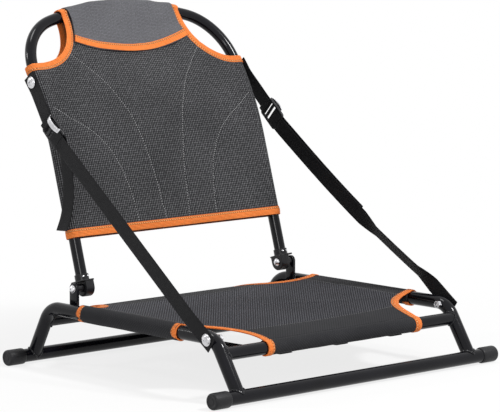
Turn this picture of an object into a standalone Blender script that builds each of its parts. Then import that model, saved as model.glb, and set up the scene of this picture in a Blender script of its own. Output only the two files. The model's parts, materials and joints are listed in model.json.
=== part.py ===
"""Kayak seat: a bent tube base with a stretched sling, and a backrest that folds forward on two hinges.

Units are metres, +Z is up, the seat faces -Y and X runs across it.
All pieces are built round the front foot tube's axis, then the whole seat is centred on its own box.
"""

import math

import bmesh
import bpy
from mathutils import Matrix, Vector

# Clearance that touching pieces keep
GAP = 0.0003

# Foot tubes and their end caps
FOOT_SPAN = 0.563
FOOT_SPACING = 0.456
TUBE_OD = 0.020
TUBE_WALL = 0.0015
CAP_OD = 0.024
CAP_LENGTH = 0.030
CAP_END = 0.0028
CAP_ROUND = 0.0022

# Side rails, each bent from one tube: leg, rail, leg
RAIL_INSET = 0.051
RAIL_HEIGHT = 0.0872
RAIL_BEND_RADIUS = 0.034
FRONT_LEG_LEAN = math.radians(32.4)
REAR_LEG_LEAN = math.radians(28.7)
DRAIN_HOLE_D = 0.0035
DRAIN_HOLE_BEFORE_HINGE = 0.0039

# Cross tubes between the legs
CROSS_OD = 0.019
CROSS_WALL = 0.0015
CROSS_DROP = 0.0207
COPE_CLEARANCE = 0.00045

# Hinges of the backrest
HINGE_FROM_REAR = 0.0815
HINGE_RISE = 0.0310
UPRIGHT_WIDTH = 0.0170
UPRIGHT_THICKNESS = 0.0050
UPRIGHT_LAP = 0.0060
HINGE_BOLT_D = 0.0060
BOLT_CLEARANCE = 0.0003
HINGE_HEAD_D = 0.0120
HINGE_HEAD_HEIGHT = 0.0045
HEAD_RIM_SHARE = 0.3
HEAD_DOME_SHARE = 1 - HEAD_RIM_SHARE
NUT_BORE_SHARE = 0.8
SPACER_OD = 0.0130
FITTING_THICKNESS = 0.0150
FITTING_SHIFT = 0.0035
FITTING_EYE_RADIUS = 0.0130
FITTING_SHOULDER = 0.0085
FLANGE_THICKNESS = 0.0025
FLANGE_OVERHANG = 0.0005
FLANGE_LAP = 0.0010
SOCKET_DEPTH = 0.0090
SOCKET_WALL = 0.0015
SOCKET_CLEARANCE = 0.00042
RIVET_D = 0.0024
RIVET_HEAD_D = 0.0034
RIVET_HEAD_HEIGHT = 0.0012
RIVET_RIM = 0.0004
RIVET_AT = 0.55

# Backrest tube: two legs, a lumbar bend in side view, and an arch on top
BACK_INSET = 0.0305
BACK_OD = 0.0175
BACK_WALL = 0.0015
LOWER_LEAN = math.radians(16.5)
UPPER_LEAN = math.radians(31.7)
LUMBAR_START = 0.197
LUMBAR_LENGTH = 0.120
ARCH_AFTER_LUMBAR = 0.014
ARCH_SHARE = 0.445
CROWN_ANGLE = math.radians(15.6)

# Cloth of the sling and of the backrest cover
CLOTH = 0.0012
COVER_BOTTOM = 0.0745
OPENING_PAST_ARCH = 0.0045
OPENING_LOW_SHARE = 0.118
OPENING_POWER = 2.4
FLAP_LOW_SHARE = 0.4832
FLAP_DIP = 0.0215
FLAP_CLOTH = 0.0010
FLAP_CLEARANCE = 0.0012
BINDING_WIDTH = 0.0115
BINDING_THICKNESS = 0.0010
HEM_WIDTH = 0.0150

# Seat sling
CORNER_WIDTH = 0.0785
FRONT_CORNER_LENGTH = 0.0853
REAR_CORNER_LENGTH = 0.0861
DECK_INSET = 0.0005
DECK_CLOTH = 0.0006
DECK_CLEARANCE = 0.0009
WRAP_ANGLE = math.radians(240)

# Webbing and its bolts
WEBBING_WIDTH = 0.0250
WEBBING_THICKNESS = 0.0014
STRAP_BOLT_D = 0.0060
STRAP_HEAD_D = 0.0180
STRAP_HEAD_HEIGHT = 0.0042
STRAP_HEAD_RIM = 0.0010
STRAP_DOME_SHARE = 0.86
STRAP_NUT_FLATS = 0.0100
STRAP_NUT_HEIGHT = 0.0050
STRAP_END = 0.0125
UPPER_BOLT_BELOW_OPENING = 0.0255
LOWER_BOLT_AFTER_CORNER = 0.0065
LOWER_BOLT_DROP = 0.0013
LOWER_STRAP_FLAT = 0.045
STRAP_LEAD = 0.006
UPPER_BOLT_GRIP = 0.0120

# Strap buckles: a plate with two slots, and a thumb lip that curls up from the bar between them
BUCKLE_BEHIND_HINGE = 0.0440
BUCKLE_ABOVE_HINGE = 0.2283
BUCKLE_INSET = 0.0115
BUCKLE_ANGLE = math.radians(42.0)
BUCKLE_LENGTH = 0.040
BUCKLE_WIDTH = 0.033
BUCKLE_PLATE = 0.0030
BUCKLE_CORNER = 0.0030
SLOT_WIDTH = 0.0262
UPPER_SLOT = (-0.0155, -0.0095)
LOWER_SLOT = (-0.0045, 0.0030)
LIP_ROOT = (UPPER_SLOT[1] + LOWER_SLOT[0]) / 2
LIP_RISE = 0.0065
LIP_REACH = 0.0130
LIP_THICKNESS = 0.0022

# Loose ends of the webbing: one hangs, one lies along its strap
LEFT_TAIL_LENGTH = 0.135
RIGHT_TAIL_LENGTH = 0.205
TAIL_STEPS = 6
TAIL_HANG = math.radians(88)
TAIL_DROOP = 0.55

# Tension straps under the sling
TENSION_STRAP_FROM_END = 0.042
TENSION_SLACK = 0.004
TENSION_BUCKLE_BEHIND_CROSS = 0.0373
TENSION_BUCKLE_LENGTH = 0.016
TENSION_BUCKLE_WALL = 0.0032
TENSION_BUCKLE_BEVEL = 0.0016

# Smoothness of round shapes
TUBE_SIDES = 16
CAP_SIDES = 20
COPE_SIDES = 20
SMALL_SIDES = 12
RIVET_SIDES = 8
NUT_SIDES = 6
UPRIGHT_STEPS = 8
EYE_STEPS = 10
DOME_STEPS = 3
BAR_TURN_STEPS = 4
TENSION_STEPS = 6
BEND_STEPS = 5
ARCH_STEPS = 6
CROWN_STEPS = 3
LUMBAR_STEPS = 4
WRAP_STEPS = 12
COVER_COLUMNS = 8
FLAP_COLUMNS = 10
FLAP_ROWS = 4
FLAP_TURNS = 3
DECK_CELLS = 14
LIP_STEPS = 4
EDGE_STEPS = 12
CORNER_STEPS = 8
RIM_STEPS = 6
SMOOTH_ANGLE = math.radians(35)

# Sizes that follow from the ones above
TUBE_R = TUBE_OD / 2
CAP_R = CAP_OD / 2
BACK_R = BACK_OD / 2
CROSS_R = CROSS_OD / 2
RAIL_X = FOOT_SPAN / 2 - RAIL_INSET
BACK_X = RAIL_X - BACK_INSET
FOOT_Z = CAP_R * math.cos(math.pi / CAP_SIDES)
CROSS_HEIGHT = RAIL_HEIGHT - CROSS_DROP
CORNER_RISE = RAIL_HEIGHT - FOOT_Z
LEG_RISE = CROSS_HEIGHT - FOOT_Z
FRONT_CROSS_Y = LEG_RISE * math.tan(FRONT_LEG_LEAN)
REAR_CROSS_Y = FOOT_SPACING - LEG_RISE * math.tan(REAR_LEG_LEAN)
HINGE_FROM_FRONT = FOOT_SPACING - HINGE_FROM_REAR
HINGE_HEIGHT = RAIL_HEIGHT + HINGE_RISE
DRAIN_HOLE_FROM_FRONT = HINGE_FROM_FRONT - DRAIN_HOLE_BEFORE_HINGE
RAIL_SLEEVE_FRONT = FRONT_CROSS_Y + FRONT_CORNER_LENGTH
RAIL_SLEEVE_REAR = REAR_CROSS_Y - REAR_CORNER_LENGTH
CROSS_SLEEVE_HALF = RAIL_X - CORNER_WIDTH
TENSION_STRAP_SPACING = CROSS_SLEEVE_HALF - TENSION_STRAP_FROM_END
TENSION_BUCKLE_FROM_FRONT = FRONT_CROSS_Y + TENSION_BUCKLE_BEHIND_CROSS
ARCH_START = LUMBAR_START + LUMBAR_LENGTH + ARCH_AFTER_LUMBAR
ARCH_RADIUS = BACK_X * ARCH_SHARE
OPENING_INNER = BACK_X - ARCH_RADIUS + OPENING_PAST_ARCH
OPENING_BOTTOM = ARCH_START + ARCH_RADIUS * OPENING_LOW_SHARE
FLAP_SIDE = ARCH_START + ARCH_RADIUS * FLAP_LOW_SHARE
UPPER_BOLT_AT = OPENING_BOTTOM - UPPER_BOLT_BELOW_OPENING
LOWER_BOLT_FROM_FRONT = CORNER_RISE * math.tan(FRONT_LEG_LEAN) + LOWER_BOLT_AFTER_CORNER
LOWER_BOLT_HEIGHT = RAIL_HEIGHT - LOWER_BOLT_DROP
BUCKLE_FROM_FRONT = HINGE_FROM_FRONT + BUCKLE_BEHIND_HINGE
BUCKLE_HEIGHT = HINGE_HEIGHT + BUCKLE_ABOVE_HINGE
BUCKLE_OUT = RAIL_X - BUCKLE_INSET
COLLAR_R = BACK_R + GAP + SOCKET_WALL
SOCKET_BOTTOM = FITTING_SHOULDER + FLANGE_THICKNESS
BOLT_HOLE_R = HINGE_BOLT_D / 2 + BOLT_CLEARANCE
STRAP_HOLE_R = STRAP_BOLT_D / 2 + BOLT_CLEARANCE
SLEEVE_RAIL_IN = TUBE_R + GAP
SLEEVE_RAIL_OUT = SLEEVE_RAIL_IN + CLOTH
SLEEVE_CROSS_IN = CROSS_R + GAP
SLEEVE_CROSS_OUT = SLEEVE_CROSS_IN + CLOTH
COVER_IN = (BACK_R + GAP) / math.cos(math.pi / (2 * RIM_STEPS))
COVER_OUT = COVER_IN + CLOTH
UPRIGHT_OUT_X = RAIL_X - TUBE_R - GAP
UPRIGHT_IN_X = UPRIGHT_OUT_X - UPRIGHT_THICKNESS
FITTING_OUT_X = BACK_X + FITTING_THICKNESS / 2 - FITTING_SHIFT
FITTING_IN_X = FITTING_OUT_X - FITTING_THICKNESS
LUMBAR_END = LUMBAR_START + LUMBAR_LENGTH
TUBE_FOOT = SOCKET_BOTTOM + GAP
HINGE = Vector((0.0, HINGE_FROM_FRONT, HINGE_HEIGHT))
STRAP_X_UPPER = BACK_X + COVER_OUT + GAP + WEBBING_THICKNESS / 2
STRAP_X_LOWER = RAIL_X + TUBE_R + GAP + WEBBING_THICKNESS / 2

SIDES = (("left", -1.0), ("right", 1.0))


# Scene, materials and objects

def clear_scene():
    """Remove every object that the file starts with."""
    for item in list(bpy.data.objects):
        bpy.data.objects.remove(item, do_unlink=True)


def make_material(name, color, roughness, metallic=0.0):
    """A plain Principled material in the piece's own colour."""
    material = bpy.data.materials.new(name)
    material.use_nodes = True
    shader = material.node_tree.nodes["Principled BSDF"]
    shader.inputs["Base Color"].default_value = (*color, 1.0)
    shader.inputs["Roughness"].default_value = roughness
    shader.inputs["Metallic"].default_value = metallic
    return material


FINISHES = {
    "frame": ((0.012, 0.012, 0.014), 0.22, 0.0),
    "cap": ((0.02, 0.02, 0.02), 0.55, 0.0),
    "moulding": ((0.03, 0.03, 0.033), 0.45, 0.0),
    "steel": ((0.62, 0.62, 0.60), 0.25, 1.0),
    "mesh_cloth": ((0.075, 0.076, 0.082), 0.85, 0.0),
    "flap_cloth": ((0.16, 0.16, 0.17), 0.85, 0.0),
    "binding": ((0.87, 0.27, 0.05), 0.7, 0.0),
    "webbing": ((0.014, 0.014, 0.015), 0.6, 0.0),
}


class Builder:
    """Collects the seat's objects, and hangs each on the empty that carries it."""

    def __init__(self):
        self.root = self.add_empty("seat_origin", Vector((0.0, 0.0, 0.0)), None)
        self.back = self.add_empty("backrest_pivot", HINGE, self.root)
        self.pieces = []
        self.materials = {}

    def add_empty(self, name, place, parent):
        """An empty at a place in the seat's own frame."""
        empty = bpy.data.objects.new(name, None)
        bpy.context.scene.collection.objects.link(empty)
        empty.parent = parent
        empty.location = place
        return empty

    def material(self, key):
        """The finish with this key, made once."""
        if key not in self.materials:
            color, roughness, metallic = FINISHES[key]
            self.materials[key] = make_material(key, color, roughness, metallic)
        return self.materials[key]

    def add(self, name, mesh_data, finish, carrier=None):
        """Turn a bmesh, drawn in the seat's frame, into a named object on its carrier."""
        carrier = carrier or self.root
        item = self.link(name, mesh_data, carrier)
        item.data.materials.append(self.material(finish))
        item.data.shade_smooth()
        item.data.set_sharp_from_angle(angle=SMOOTH_ANGLE)
        self.pieces.append(item)
        return item

    def link(self, name, mesh_data, carrier):
        """Write the bmesh into an object whose origin is its carrier's."""
        bmesh.ops.recalc_face_normals(mesh_data, faces=mesh_data.faces[:])
        offset = Vector((0.0, 0.0, 0.0))
        empty = carrier
        while empty is not None:
            offset += empty.location
            empty = empty.parent
        bmesh.ops.translate(mesh_data, vec=-offset, verts=mesh_data.verts[:])
        mesh = bpy.data.meshes.new(name)
        mesh_data.to_mesh(mesh)
        mesh_data.free()
        item = bpy.data.objects.new(name, mesh)
        bpy.context.scene.collection.objects.link(item)
        item.parent = carrier
        return item

    def boolean(self, target, tool_data, operation, carrier=None):
        """Cut a hidden tool out of a target, or join it on."""
        name = f"{target.name}_{operation.lower()}_{len(target.modifiers)}"
        tool = self.link(name, tool_data, carrier or target.parent)
        tool.hide_render = True
        tool.display_type = "WIRE"
        step = target.modifiers.new(name, "BOOLEAN")
        step.operation = operation
        step.solver = "EXACT"
        step.object = tool

    def centre(self):
        """Stand the seat with the middle of its box over the origin."""
        bpy.context.view_layer.update()
        graph = bpy.context.evaluated_depsgraph_get()
        reach = []
        for item in self.pieces:
            whole = item.evaluated_get(graph)
            reach.extend((whole.matrix_world @ vertex.co).y for vertex in whole.data.vertices)
        self.root.location.y = -(min(reach) + max(reach)) / 2


# Basic solids

def loft(sections, closed=False):
    """Skin a row of equal polygons; the row ends in caps, or joins up with itself."""
    data = bmesh.new()
    rings = [[data.verts.new(point) for point in section] for section in sections]
    pairs = list(zip(rings, rings[1:]))
    if closed:
        pairs.append((rings[-1], rings[0]))
    for near, far in pairs:
        count = len(near)
        for index in range(count):
            after = (index + 1) % count
            data.faces.new((near[index], near[after], far[after], far[index]))
    if not closed:
        data.faces.new(rings[0][::-1])
        data.faces.new(rings[-1])
    return data


def loft_shell(outer, inner):
    """Skin an open-ended hollow: outer and inner rows of polygons, joined by a rim at each end."""
    data = bmesh.new()
    outside = [[data.verts.new(point) for point in section] for section in outer]
    inside = [[data.verts.new(point) for point in section] for section in inner]
    count = len(outside[0])
    for index in range(count):
        after = (index + 1) % count
        for rings in (outside, inside):
            for near, far in zip(rings, rings[1:]):
                data.faces.new((near[index], near[after], far[after], far[index]))
        for end in (0, -1):
            rim = (outside[end][index], outside[end][after], inside[end][after], inside[end][index])
            data.faces.new(rim)
    return data


def frames_along(path):
    """Right-angled frames that follow a path with the least twist."""
    frames = []
    across = None
    for index, point in enumerate(path):
        before = path[max(index - 1, 0)]
        after = path[min(index + 1, len(path) - 1)]
        tangent = (after - before).normalized()
        if across is None:
            seed = Vector((1.0, 0.0, 0.0))
            if abs(tangent.x) > 0.9:
                seed = Vector((0.0, 0.0, 1.0))
            across = seed
        across = (across - tangent * across.dot(tangent)).normalized()
        frames.append((point, across, tangent.cross(across)))
    return frames


def rings_along(path, radius, sides):
    """Circles of points round a path, each with a flat side towards its second axis."""
    rings = []
    for point, first, second in frames_along(path):
        ring = []
        for side in range(sides):
            angle = 2 * math.pi * (side + 0.5) / sides
            ring.append(point + first * (radius * math.cos(angle)) + second * (radius * math.sin(angle)))
        rings.append(ring)
    return rings


def tube(path, outer_radius, wall, sides=TUBE_SIDES):
    """A hollow tube along a path, open at both ends."""
    return loft_shell(rings_along(path, outer_radius, sides), rings_along(path, outer_radius - wall, sides))


def rod(start, end, radius, sides=TUBE_SIDES):
    """A plain round bar between two points."""
    return loft(rings_along([Vector(start), Vector(end)], radius, sides))


def turned(profile, base, axis, sides=SMALL_SIDES):
    """Spin a closed outline of (height, radius) points round an axis through base."""
    axis = Vector(axis).normalized()
    turn = Vector((0.0, 0.0, 1.0)).rotation_difference(axis).to_matrix().to_4x4()
    data = bmesh.new()
    corners = [data.verts.new((radius, 0.0, height)) for height, radius in profile]
    outline = data.faces.new(corners)
    start_turn = Matrix.Rotation(math.pi / sides, 4, "Z")
    bmesh.ops.rotate(data, verts=data.verts[:], matrix=start_turn, cent=(0.0, 0.0, 0.0))
    bmesh.ops.spin(
        data, geom=[outline, *outline.edges, *outline.verts], cent=(0.0, 0.0, 0.0), axis=(0.0, 0.0, 1.0),
        angle=2 * math.pi, steps=sides, use_merge=True, use_duplicate=False)
    bmesh.ops.remove_doubles(data, verts=data.verts[:], dist=1e-6)
    inner = [face for face in data.faces if all(len(edge.link_faces) > 2 for edge in face.edges)]
    bmesh.ops.delete(data, geom=inner, context="FACES_ONLY")
    bmesh.ops.transform(data, matrix=Matrix.Translation(base) @ turn, verts=data.verts[:])
    return data


def plate(outline, axis_from, axis_to):
    """Extrude an outline of (y, z) points between two places along X."""
    return loft([[Vector((x, y, z)) for y, z in outline] for x in (axis_from, axis_to)])


def dome(height, radius):
    """Profile points of a low dome, from its rim to its tip."""
    angles = [math.pi / 2 * step / DOME_STEPS for step in range(1, DOME_STEPS + 1)]
    return [(height * math.sin(angle), radius * math.cos(angle)) for angle in angles]


# Base frame

def arc_points(corner, before, after, radius, steps):
    """Round the corner of a path with an arc that touches both straight runs."""
    arriving = (before - corner).normalized()
    leaving = (after - corner).normalized()
    half = arriving.angle(leaving) / 2
    start = corner + arriving * (radius / math.tan(half))
    centre = corner + (arriving + leaving).normalized() * (radius / math.sin(half))
    sweep = math.pi - 2 * half
    normal = (start - centre).cross(corner - centre).normalized()
    return [centre + Matrix.Rotation(sweep * step / steps, 3, normal) @ (start - centre)
            for step in range(steps + 1)]


def rail_corners(x):
    """The four points between which a side rail is bent: foot, front corner, rear corner, foot."""
    return (
        Vector((x, 0.0, FOOT_Z)),
        Vector((x, CORNER_RISE * math.tan(FRONT_LEG_LEAN), RAIL_HEIGHT)),
        Vector((x, FOOT_SPACING - CORNER_RISE * math.tan(REAR_LEG_LEAN), RAIL_HEIGHT)),
        Vector((x, FOOT_SPACING, FOOT_Z)),
    )


def build_feet(builder):
    """Two foot tubes across the seat, each with a cup-shaped cap on both ends."""
    tube_half = FOOT_SPAN / 2 - CAP_END - GAP
    corner = CAP_ROUND * (1 - math.cos(math.pi / 4))
    cup = [
        (-CAP_END, 0.0),
        (-CAP_END, CAP_R - CAP_ROUND),
        (-CAP_END + corner, CAP_R - corner),
        (-CAP_END + CAP_ROUND, CAP_R),
        (CAP_LENGTH - CAP_END - CAP_ROUND / 2, CAP_R),
        (CAP_LENGTH - CAP_END, CAP_R - CAP_ROUND / 2),
        (CAP_LENGTH - CAP_END, TUBE_R + GAP),
        (0.0, TUBE_R + GAP),
        (0.0, 0.0),
    ]
    for place, y in (("front", 0.0), ("rear", FOOT_SPACING)):
        path = [Vector((-tube_half, y, FOOT_Z)), Vector((tube_half, y, FOOT_Z))]
        builder.add(f"{place}_foot_tube", tube(path, TUBE_R, TUBE_WALL), "frame")
        for side, sign in SIDES:
            base = Vector((sign * (tube_half + GAP), y, FOOT_Z))
            cap = turned(cup, base, (-sign, 0.0, 0.0), CAP_SIDES)
            builder.add(f"foot_cap_{place}_{side}", cap, "cap")


def build_rails(builder):
    """Side rails, coped over the foot tubes, with holes for the strap bolts and for draining."""
    across = Vector((TUBE_OD, 0.0, 0.0))
    for side, sign in SIDES:
        x = sign * RAIL_X
        foot, front, rear, heel = rail_corners(x)
        path = [foot]
        path += arc_points(front, foot, rear, RAIL_BEND_RADIUS, BEND_STEPS)
        path += arc_points(rear, front, heel, RAIL_BEND_RADIUS, BEND_STEPS)
        path += [heel]
        rail = builder.add(f"side_rail_{side}", tube(path, TUBE_R, TUBE_WALL), "frame")
        for y in (0.0, FOOT_SPACING):
            foot_axis = Vector((x, y, FOOT_Z))
            cope = rod(foot_axis - across, foot_axis + across, TUBE_R + COPE_CLEARANCE, COPE_SIDES)
            builder.boolean(rail, cope, "DIFFERENCE")
        bolt = Vector((x, LOWER_BOLT_FROM_FRONT, LOWER_BOLT_HEIGHT))
        builder.boolean(rail, rod(bolt - across, bolt + across, STRAP_HOLE_R, SMALL_SIDES), "DIFFERENCE")
        drain = Vector((x, DRAIN_HOLE_FROM_FRONT, RAIL_HEIGHT))
        builder.boolean(rail, rod(drain, drain + across * sign, DRAIN_HOLE_D / 2, SMALL_SIDES), "DIFFERENCE")


def build_cross_tubes(builder):
    """Cross tubes, coped between the legs' centre lines."""
    rows = (
        ("front", FRONT_CROSS_Y, Vector((0.0, math.tan(FRONT_LEG_LEAN), 1.0))),
        ("rear", REAR_CROSS_Y, Vector((0.0, -math.tan(REAR_LEG_LEAN), 1.0))),
    )
    for place, y, leg in rows:
        path = [Vector((-RAIL_X, y, CROSS_HEIGHT)), Vector((RAIL_X, y, CROSS_HEIGHT))]
        cross = builder.add(f"{place}_cross_tube", tube(path, CROSS_R, CROSS_WALL), "frame")
        for end in path:
            reach = leg.normalized() * TUBE_OD
            cope = rod(end - reach, end + reach, TUBE_R + COPE_CLEARANCE, COPE_SIDES)
            builder.boolean(cross, cope, "DIFFERENCE")


# Hinges

def upright_outline():
    """A flat bar that laps the rail's inner side, with a round top about the hinge."""
    half = UPRIGHT_WIDTH / 2
    foot = RAIL_HEIGHT - UPRIGHT_LAP
    points = [(HINGE.y - half, foot), (HINGE.y + half, foot)]
    for step in range(UPRIGHT_STEPS + 1):
        angle = math.pi * step / UPRIGHT_STEPS
        points.append((HINGE.y + half * math.cos(angle), HINGE.z + half * math.sin(angle)))
    return points


def fitting_outline():
    """The eye of the tube's end fitting: round under the hinge, square at its shoulder."""
    along = Vector((math.sin(LOWER_LEAN), math.cos(LOWER_LEAN)))
    across = Vector((math.cos(LOWER_LEAN), -math.sin(LOWER_LEAN)))
    centre = Vector((HINGE.y, HINGE.z))
    points = []
    for step in range(EYE_STEPS + 1):
        angle = math.pi + math.pi * step / EYE_STEPS
        points.append(centre + across * (FITTING_EYE_RADIUS * math.cos(angle))
                      + along * (FITTING_EYE_RADIUS * math.sin(angle)))
    points.append(centre + across * FITTING_EYE_RADIUS + along * FITTING_SHOULDER)
    points.append(centre - across * FITTING_EYE_RADIUS + along * FITTING_SHOULDER)
    return [(point.x, point.y) for point in points]


def flange_sections(x, half_x, half_n, start, end):
    """Two rectangles, square to the tube's foot, that bound the fitting's flange."""
    corners = ((-half_x, -half_n), (half_x, -half_n), (half_x, half_n), (-half_x, half_n))
    return [[back_point(x + dx, s, n) for dx, n in corners] for s in (start, end)]


def build_hinges(builder):
    """On each side an upright, a spacer, a bolt with its nut, and the fitting that turns on the bolt."""
    for side, sign in SIDES:
        axis = Vector((sign, 0.0, 0.0))
        outer = HINGE + axis * UPRIGHT_OUT_X
        hole = rod(HINGE + axis * (FITTING_IN_X - TUBE_OD), outer + axis * TUBE_OD, BOLT_HOLE_R, SMALL_SIDES)
        upright = plate(upright_outline(), sign * UPRIGHT_IN_X, sign * UPRIGHT_OUT_X)
        builder.boolean(builder.add(f"hinge_upright_{side}", upright, "frame"), hole, "DIFFERENCE")

        spacer_length = UPRIGHT_IN_X - FITTING_OUT_X - 2 * GAP
        ring = [(0.0, BOLT_HOLE_R), (0.0, SPACER_OD / 2)]
        ring += [(spacer_length, SPACER_OD / 2), (spacer_length, BOLT_HOLE_R)]
        spacer = turned(ring, HINGE + axis * (FITTING_OUT_X + GAP), axis)
        builder.add(f"hinge_spacer_{side}", spacer, "moulding")

        bolt_r = HINGE_BOLT_D / 2
        head_r = HINGE_HEAD_D / 2
        rim = HINGE_HEAD_HEIGHT * HEAD_RIM_SHARE
        rise = HINGE_HEAD_HEIGHT * HEAD_DOME_SHARE
        grip = UPRIGHT_OUT_X - FITTING_IN_X + 2 * GAP + rise
        bolt = [(-grip, 0.0), (-grip, bolt_r), (GAP, bolt_r), (GAP, head_r), (GAP + rim, head_r)]
        bolt += [(GAP + rim + height, radius) for height, radius in dome(rise, head_r)]
        builder.add(f"hinge_bolt_{side}", turned(bolt, outer, axis), "steel")

        bore = HINGE_HEAD_HEIGHT * NUT_BORE_SHARE
        nut = [(0.0, BOLT_HOLE_R), (0.0, head_r), (rim, head_r)]
        nut += [(rim + height, radius) for height, radius in dome(rise, head_r)]
        nut += [(bore, 0.0), (bore, BOLT_HOLE_R)]
        builder.add(f"hinge_nut_{side}", turned(nut, HINGE + axis * (FITTING_IN_X - GAP), -axis), "steel")

        build_fitting(builder, side, sign)


def build_fitting(builder, side, sign):
    """The moulded end fitting: an eye on the hinge bolt, a flange, and a socket for the tube."""
    x = sign * BACK_X
    eye = plate(fitting_outline(), sign * FITTING_IN_X, sign * FITTING_OUT_X)
    fitting = builder.add(f"hinge_fitting_{side}", eye, "moulding", builder.back)
    half_n = FITTING_EYE_RADIUS + FLANGE_OVERHANG
    flange = loft(flange_sections(x, COLLAR_R, half_n, FITTING_SHOULDER - FLANGE_LAP, SOCKET_BOTTOM))
    builder.boolean(fitting, flange, "UNION")
    mouth = SOCKET_BOTTOM + SOCKET_DEPTH
    collar = rod(back_point(x, SOCKET_BOTTOM - FLANGE_LAP, 0.0), back_point(x, mouth, 0.0), COLLAR_R)
    builder.boolean(fitting, collar, "UNION")
    past = back_point(x, mouth + SOCKET_DEPTH, 0.0)
    bore = rod(back_point(x, SOCKET_BOTTOM, 0.0), past, BACK_R + SOCKET_CLEARANCE)
    builder.boolean(fitting, bore, "DIFFERENCE")
    eye_axis = Vector((x, HINGE.y, HINGE.z))
    reach = Vector((2 * TUBE_OD, 0.0, 0.0))
    builder.boolean(fitting, rod(eye_axis - reach, eye_axis + reach, BOLT_HOLE_R, SMALL_SIDES), "DIFFERENCE")
    for name, start, out in rivet_lines(side, sign):
        builder.boolean(fitting, rivet_hole(start, out), "DIFFERENCE")
        builder.add(name, rivet(start, out), "steel", builder.back)


def rivet_lines(side, sign):
    """Name, start on the tube's axis and direction of each rivet that holds a tube in its socket."""
    s = SOCKET_BOTTOM + SOCKET_DEPTH * RIVET_AT
    start = back_point(sign * BACK_X, s, 0.0)
    spread = 2 * math.pi / TUBE_SIDES
    lines = []
    for place, turn in (("inner", -sign * spread), ("outer", sign * spread)):
        out = back_normal(s) * math.cos(turn) + Vector((math.sin(turn), 0.0, 0.0))
        lines.append((f"socket_rivet_{place}_{side}", start, out))
    return lines


def rivet_hole(start, out):
    """The tool that drills a rivet's hole from the tube's axis outward."""
    return rod(start, start + out * TUBE_OD, RIVET_D / 2 + GAP, RIVET_SIDES)


def rivet(start, out):
    """A domed rivet on the flat face of the collar, its shank through the collar and the tube's wall."""
    seat = COLLAR_R * math.cos(math.pi / TUBE_SIDES) + GAP
    end = BACK_R - BACK_WALL - GAP
    head_r = RIVET_HEAD_D / 2
    rim = seat + RIVET_RIM
    profile = [(end, 0.0), (end, RIVET_D / 2), (seat, RIVET_D / 2), (seat, head_r), (rim, head_r)]
    profile += [(rim + height, radius) for height, radius in dome(RIVET_HEAD_HEIGHT - RIVET_RIM, head_r)]
    return turned(profile, start, out, RIVET_SIDES)


# Backrest: its side profile, its arch, its tube and its cloth

def side_profile(s):
    """Place and lean of the backrest at length s from the hinge: straight, a lumbar arc, straight."""
    bend = min(max(s - LUMBAR_START, 0.0), LUMBAR_LENGTH)
    radius = LUMBAR_LENGTH / (UPPER_LEAN - LOWER_LEAN)
    lean = LOWER_LEAN + bend / radius
    lower = min(s, LUMBAR_START)
    upper = max(s - LUMBAR_END, 0.0)
    arc_y = radius * (math.cos(LOWER_LEAN) - math.cos(lean))
    arc_z = radius * (math.sin(lean) - math.sin(LOWER_LEAN))
    y = lower * math.sin(LOWER_LEAN) + arc_y + upper * math.sin(lean)
    z = lower * math.cos(LOWER_LEAN) + arc_z + upper * math.cos(lean)
    return y, z, lean


def back_point(x, s, n):
    """A point of the backrest: x across, s along it from the hinge, n out of its front face."""
    y, z, lean = side_profile(s)
    return HINGE + Vector((x, y - n * math.cos(lean), z + n * math.sin(lean)))


def back_normal(s):
    """The direction out of the backrest's front face at length s."""
    lean = side_profile(s)[2]
    return Vector((0.0, -math.cos(lean), math.sin(lean)))


def back_along(s):
    """The direction up the backrest's face at length s."""
    lean = side_profile(s)[2]
    return Vector((0.0, math.sin(lean), math.cos(lean)))


def arch_half():
    """Right half of the arch as (x, s) points, from the corner's start to the crown's middle."""
    centre_x = BACK_X - ARCH_RADIUS
    points = []
    for step in range(ARCH_STEPS + 1):
        angle = (math.pi / 2 - CROWN_ANGLE) * step / ARCH_STEPS
        points.append((centre_x + ARCH_RADIUS * math.cos(angle), ARCH_START + ARCH_RADIUS * math.sin(angle)))
    last_x, last_s = points[-1]
    slope = math.tan(CROWN_ANGLE)
    for step in range(1, CROWN_STEPS + 1):
        run = last_x * step / CROWN_STEPS
        points.append((last_x - run, last_s + slope * run - slope * run * run / (2 * last_x)))
    return points


def leg_stations(start):
    """Lengths along a backrest leg, close together in the lumbar bend, from start to the arch."""
    stations = [start]
    if start < LUMBAR_START:
        stations.append((start + LUMBAR_START) / 2)
    stations += [LUMBAR_START + LUMBAR_LENGTH * step / LUMBAR_STEPS for step in range(LUMBAR_STEPS + 1)]
    return [s for s in stations if start <= s < ARCH_START]


def half_outline(start):
    """Right half of the backrest's outline as (x, s) points, from a leg's start to the crown's middle."""
    return [(BACK_X, s) for s in leg_stations(start)] + arch_half()


def build_back_tube(builder):
    """The backrest's one bent tube, with a bolt hole and two rivet holes in each leg."""
    right = half_outline(TUBE_FOOT)
    flat = [(-x, s) for x, s in right[:-1]] + right[::-1]
    path = [back_point(x, s, 0.0) for x, s in flat]
    bent = builder.add("backrest_tube", tube(path, BACK_R, BACK_WALL), "frame", builder.back)
    for side, sign in SIDES:
        inner = back_point(sign * BACK_X, UPPER_BOLT_AT, 0.0)
        hole = rod(inner, inner + Vector((sign * TUBE_OD, 0.0, 0.0)), STRAP_HOLE_R, SMALL_SIDES)
        builder.boolean(bent, hole, "DIFFERENCE")
        for _, start, out in rivet_lines(side, sign):
            builder.boolean(bent, rivet_hole(start, out), "DIFFERENCE")


def bag_section(x, s, radius, steps=RIM_STEPS, outward=Vector((1.0, 0.0, 0.0))):
    """Half of a bag's rim: points round the tube's centre line, from the back face to the front face."""
    centre = back_point(x, s, 0.0)
    normal = back_normal(s)
    points = []
    for step in range(steps + 1):
        angle = math.pi * step / steps - math.pi / 2
        points.append(centre + outward * (radius * math.cos(angle)) + normal * (radius * math.sin(angle)))
    return points


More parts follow.
